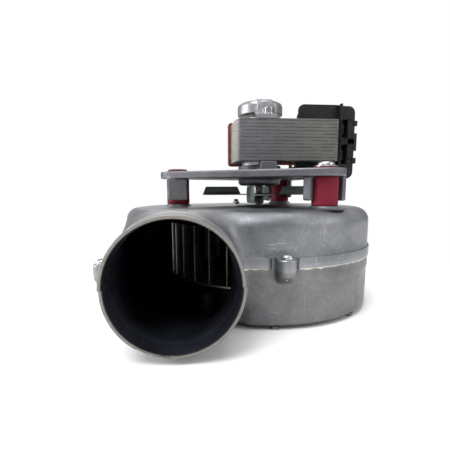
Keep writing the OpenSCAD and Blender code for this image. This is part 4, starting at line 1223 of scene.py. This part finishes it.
def cooling_fan():
    """Stamped fan: thin plate with four arms and bent-up paddles, folded with a small radius."""
    r_tip = box_mm("cooling_fan")[1][0]
    z = 67.7
    t = 0.6
    inner, slant, offset = 13.2, 2.4, 10.5
    root = inner - slant
    solid = Solid()
    for turn, drop in ((0, 0), (90, 4.6), (180, 0), (270, 4.6)):
        spin = Matrix.Rotation(math.radians(turn), 4, "Z")
        plan = [(0, 2), (0, -2), (root - 1, -offset + 1.4), (root, -offset), (r_tip, -offset),
                (r_tip, -offset + 1.2), (r_tip - 2.2, 1.0), (r_tip - 3.0, 2.0)]
        # The arms overlap at the hub, so each is a hair thinner than the one before.
        thinner = 0.002 * turn / 90
        solid.prism(plan, z + thinner, z + t - thinner, 0.12, 1, spin)
        tip = r_tip - slant
        paddles = [[(root, 0.05), (r_tip - 0.05, 0.05), (tip + 0.3, 5.2), (tip - 0.3, 5.6),
                    (inner + 0.5, 5.6), (inner - 0.1, 5.2)]]
        if drop:
            paddles.append([(root, t), (inner - 0.1, 0.4 - drop), (inner + 0.5, -drop), (tip - 0.3, -drop),
                            (tip + 0.3, 0.4 - drop), (r_tip - 0.05, t)])
        for outline in paddles:
            solid.prism([(x, z + up) for x, up in outline], offset - t, offset, 0.14, 2, spin @ UPRIGHT)
    solid.lathe([(2.6, 0), (12.3, 0), (12.4, 0.3), (12.3, t), (7.2, t + 0.02), (6.8, t + 0.4), (3.4, t + 0.4),
                 (3.2, t), (2.6, t), (2.6, 0)], base=z)
    solid.make("stamped_fan", [FAN_PAINT_SHADED], ["cooling_fan"], "fan_paint", body="rotor")
    low, high = (corner[2] for corner in box_mm("cooling_fan_bush"))
    h = high - low
    bush = Solid()
    bush.lathe([(2.55, 0), (3.0, 0), (3.2, 0.2), (3.2, h - 1.2), (3.1, h - 1.0), (3.1, h - 0.7), (3.2, h - 0.5),
                (3.2, h), (2.55, h), (2.55, 0)], (0, 0), 40, base=low)
    bush.make("fan_bush", [DARK_STEEL], ["cooling_fan_bush"], "dark_steel", body="rotor")


# CAD nodes that stay as they are, with the finish each one gets.
KEPT = {
    "isolator_sleeves": ZINC, "lower_bearing": BRONZE, "upper_bearing": BRONZE, "oil_felts": FELT,
    "bearing_clips": DARK_STEEL, "coil_core_bar": LAMINATED, "spade_terminals": SPADE, "earth_tab": BRASS,
    "shaft": SHAFT_STEEL, "rotor_core": ROTOR, "rotor_end_rings": END_RING, "thrust_washers": NYLON_GREEN,
    "shaft_clips": DARK_STEEL, "impeller_hub": ZINC, "impeller_back_plate": SHEET, "impeller_rivets": SHEET,
    "impeller_blades": BLADES, "impeller_ring": LIT_RING_SHEET, "impeller_nut": DARK_STEEL,
}
SHARP_EDGED = ("impeller_blades", "coil_core_bar")


def dress():
    for name, material in KEPT.items():
        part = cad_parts[name]
        part.data.materials.clear()
        part.data.materials.append(material)
        if name not in SHARP_EDGED:
            soften(part, 0.12, 40)


# --------------------------------------------------------------------- stage

def floor():
    """Pale floor that runs out to plain white away from the object, as paper does in a light tent."""
    ground = CAD_BOX[0][2]
    size = 6.0
    mesh = bpy.data.meshes.new("floor")
    corners = [(x * size, y * size, ground) for x, y in ((-1, -1), (1, -1), (1, 1), (-1, 1))]
    mesh.from_pydata(corners, [], [(0, 1, 2, 3)])
    n = Finish("pale_floor")
    n.set(color=n.mottle(3.0, 4.0, (0.90, 0.90, 0.90), (0.93, 0.93, 0.93)), rough=0.9, specular=0.1)
    distance = n.node("VectorMath", {0: n.node("NewGeometry").outputs["Position"]}, operation="LENGTH")
    reach = n.ramp(distance.outputs["Value"], 0.10, 0.26, interpolation_type="SMOOTHSTEP")
    seen = n.product(reach, n.node("LightPath").outputs["Is Camera Ray"])
    links = {0: seen, 1: n.shader.outputs[0], 2: n.node("Emission").outputs[0]}
    n.feed(n.tree.nodes["Material Output"].inputs["Surface"], n.node("MixShader", links).outputs[0])
    mesh.materials.append(n.material)
    piece = bpy.data.objects.new("floor", mesh)
    bpy.context.scene.collection.objects.link(piece)


def sky():
    """Soft light from all round, brighter above. The camera sees plain white instead."""
    world = bpy.data.worlds.new("studio")
    world.use_nodes = True
    bpy.context.scene.world = world
    n = Tree(world.node_tree)
    up = n.node("SeparateXYZ", {0: n.node("TexCoord").outputs["Generated"]}).outputs["Z"]
    glow = n.ramp(up, -0.2, 0.9, 0.22, 0.62, interpolation_type="SMOOTHSTEP")
    seen = n.node("LightPath").outputs["Is Camera Ray"]
    n.feed(n.tree.nodes["Background"].inputs["Color"], n.blend(seen, glow, (1.0, 1.0, 1.0)))


def lamps():
    """Large soft lights: name, place, what it points at, size and power."""
    for name, at, target, size, power in (
            ("key", (-0.45, -0.55, 0.95), (0, 0, 0.06), (0.6, 0.4), 9.0),
            ("left", (-0.95, 0.05, 0.35), (0, 0, 0.08), (0.5, 0.5), 5.5),
            ("fill", (0.85, -0.55, 0.55), (0, 0, 0.06), (0.6, 0.6), 3.0),
            ("back", (0.1, 0.9, 0.75), (0, 0, 0.06), (0.9, 0.4), 4.0),
            ("top", (0.0, 0.0, 1.15), (0, 0, 0), (0.8, 0.8), 5.0)):
        data = bpy.data.lights.new(name, "AREA")
        data.shape = "RECTANGLE"
        data.size, data.size_y = size
        data.energy = power
        lamp = bpy.data.objects.new(name, data)
        lamp.location = at
        lamp.rotation_euler = (Vector(target) - Vector(at)).to_track_quat("-Z", "Y").to_euler()
        bpy.context.scene.collection.objects.link(lamp)


def camera():
    """Seen from in front of the outlet, a little to its right and slightly from above."""
    yaw, pitch, roll = (math.radians(a) for a in (-6.113, 8.769, -0.232))
    right = Vector((math.cos(yaw), math.sin(yaw), 0))
    level = Vector((-math.sin(yaw), math.cos(yaw), 0))
    upright = Vector((0, 0, 1))
    ahead = level * math.cos(pitch) - upright * math.sin(pitch)
    up = level * math.sin(pitch) + upright * math.cos(pitch)
    side = right * math.cos(roll) + up * math.sin(roll)
    up = up * math.cos(roll) - right * math.sin(roll)
    data = bpy.data.cameras.new("camera")
    data.sensor_width = 36
    data.lens = 28.96
    data.shift_y = 0.0464
    data.clip_start = 0.01
    eye = bpy.data.objects.new("camera", data)
    turn = Matrix((side, up, -ahead)).transposed()
    eye.matrix_world = Matrix.Translation(Vector((-49.14, -242.27, 70.92)) * MM) @ turn.to_4x4()
    bpy.context.scene.collection.objects.link(eye)
    bpy.context.scene.camera = eye


for build in (upper_half, lower_half, seam_bead, stop_collar, scroll_screws, test_screw, isolators,
              isolator_screws, motor_bracket, bearing_bridge, stator, shading_rings, bobbin, terminal_housing,
              winding, cooling_fan, dress, floor, sky, lamps, camera):
    build()
bpy.context.scene.view_settings.view_transform = "Standard"
bpy.context.view_layer.update()
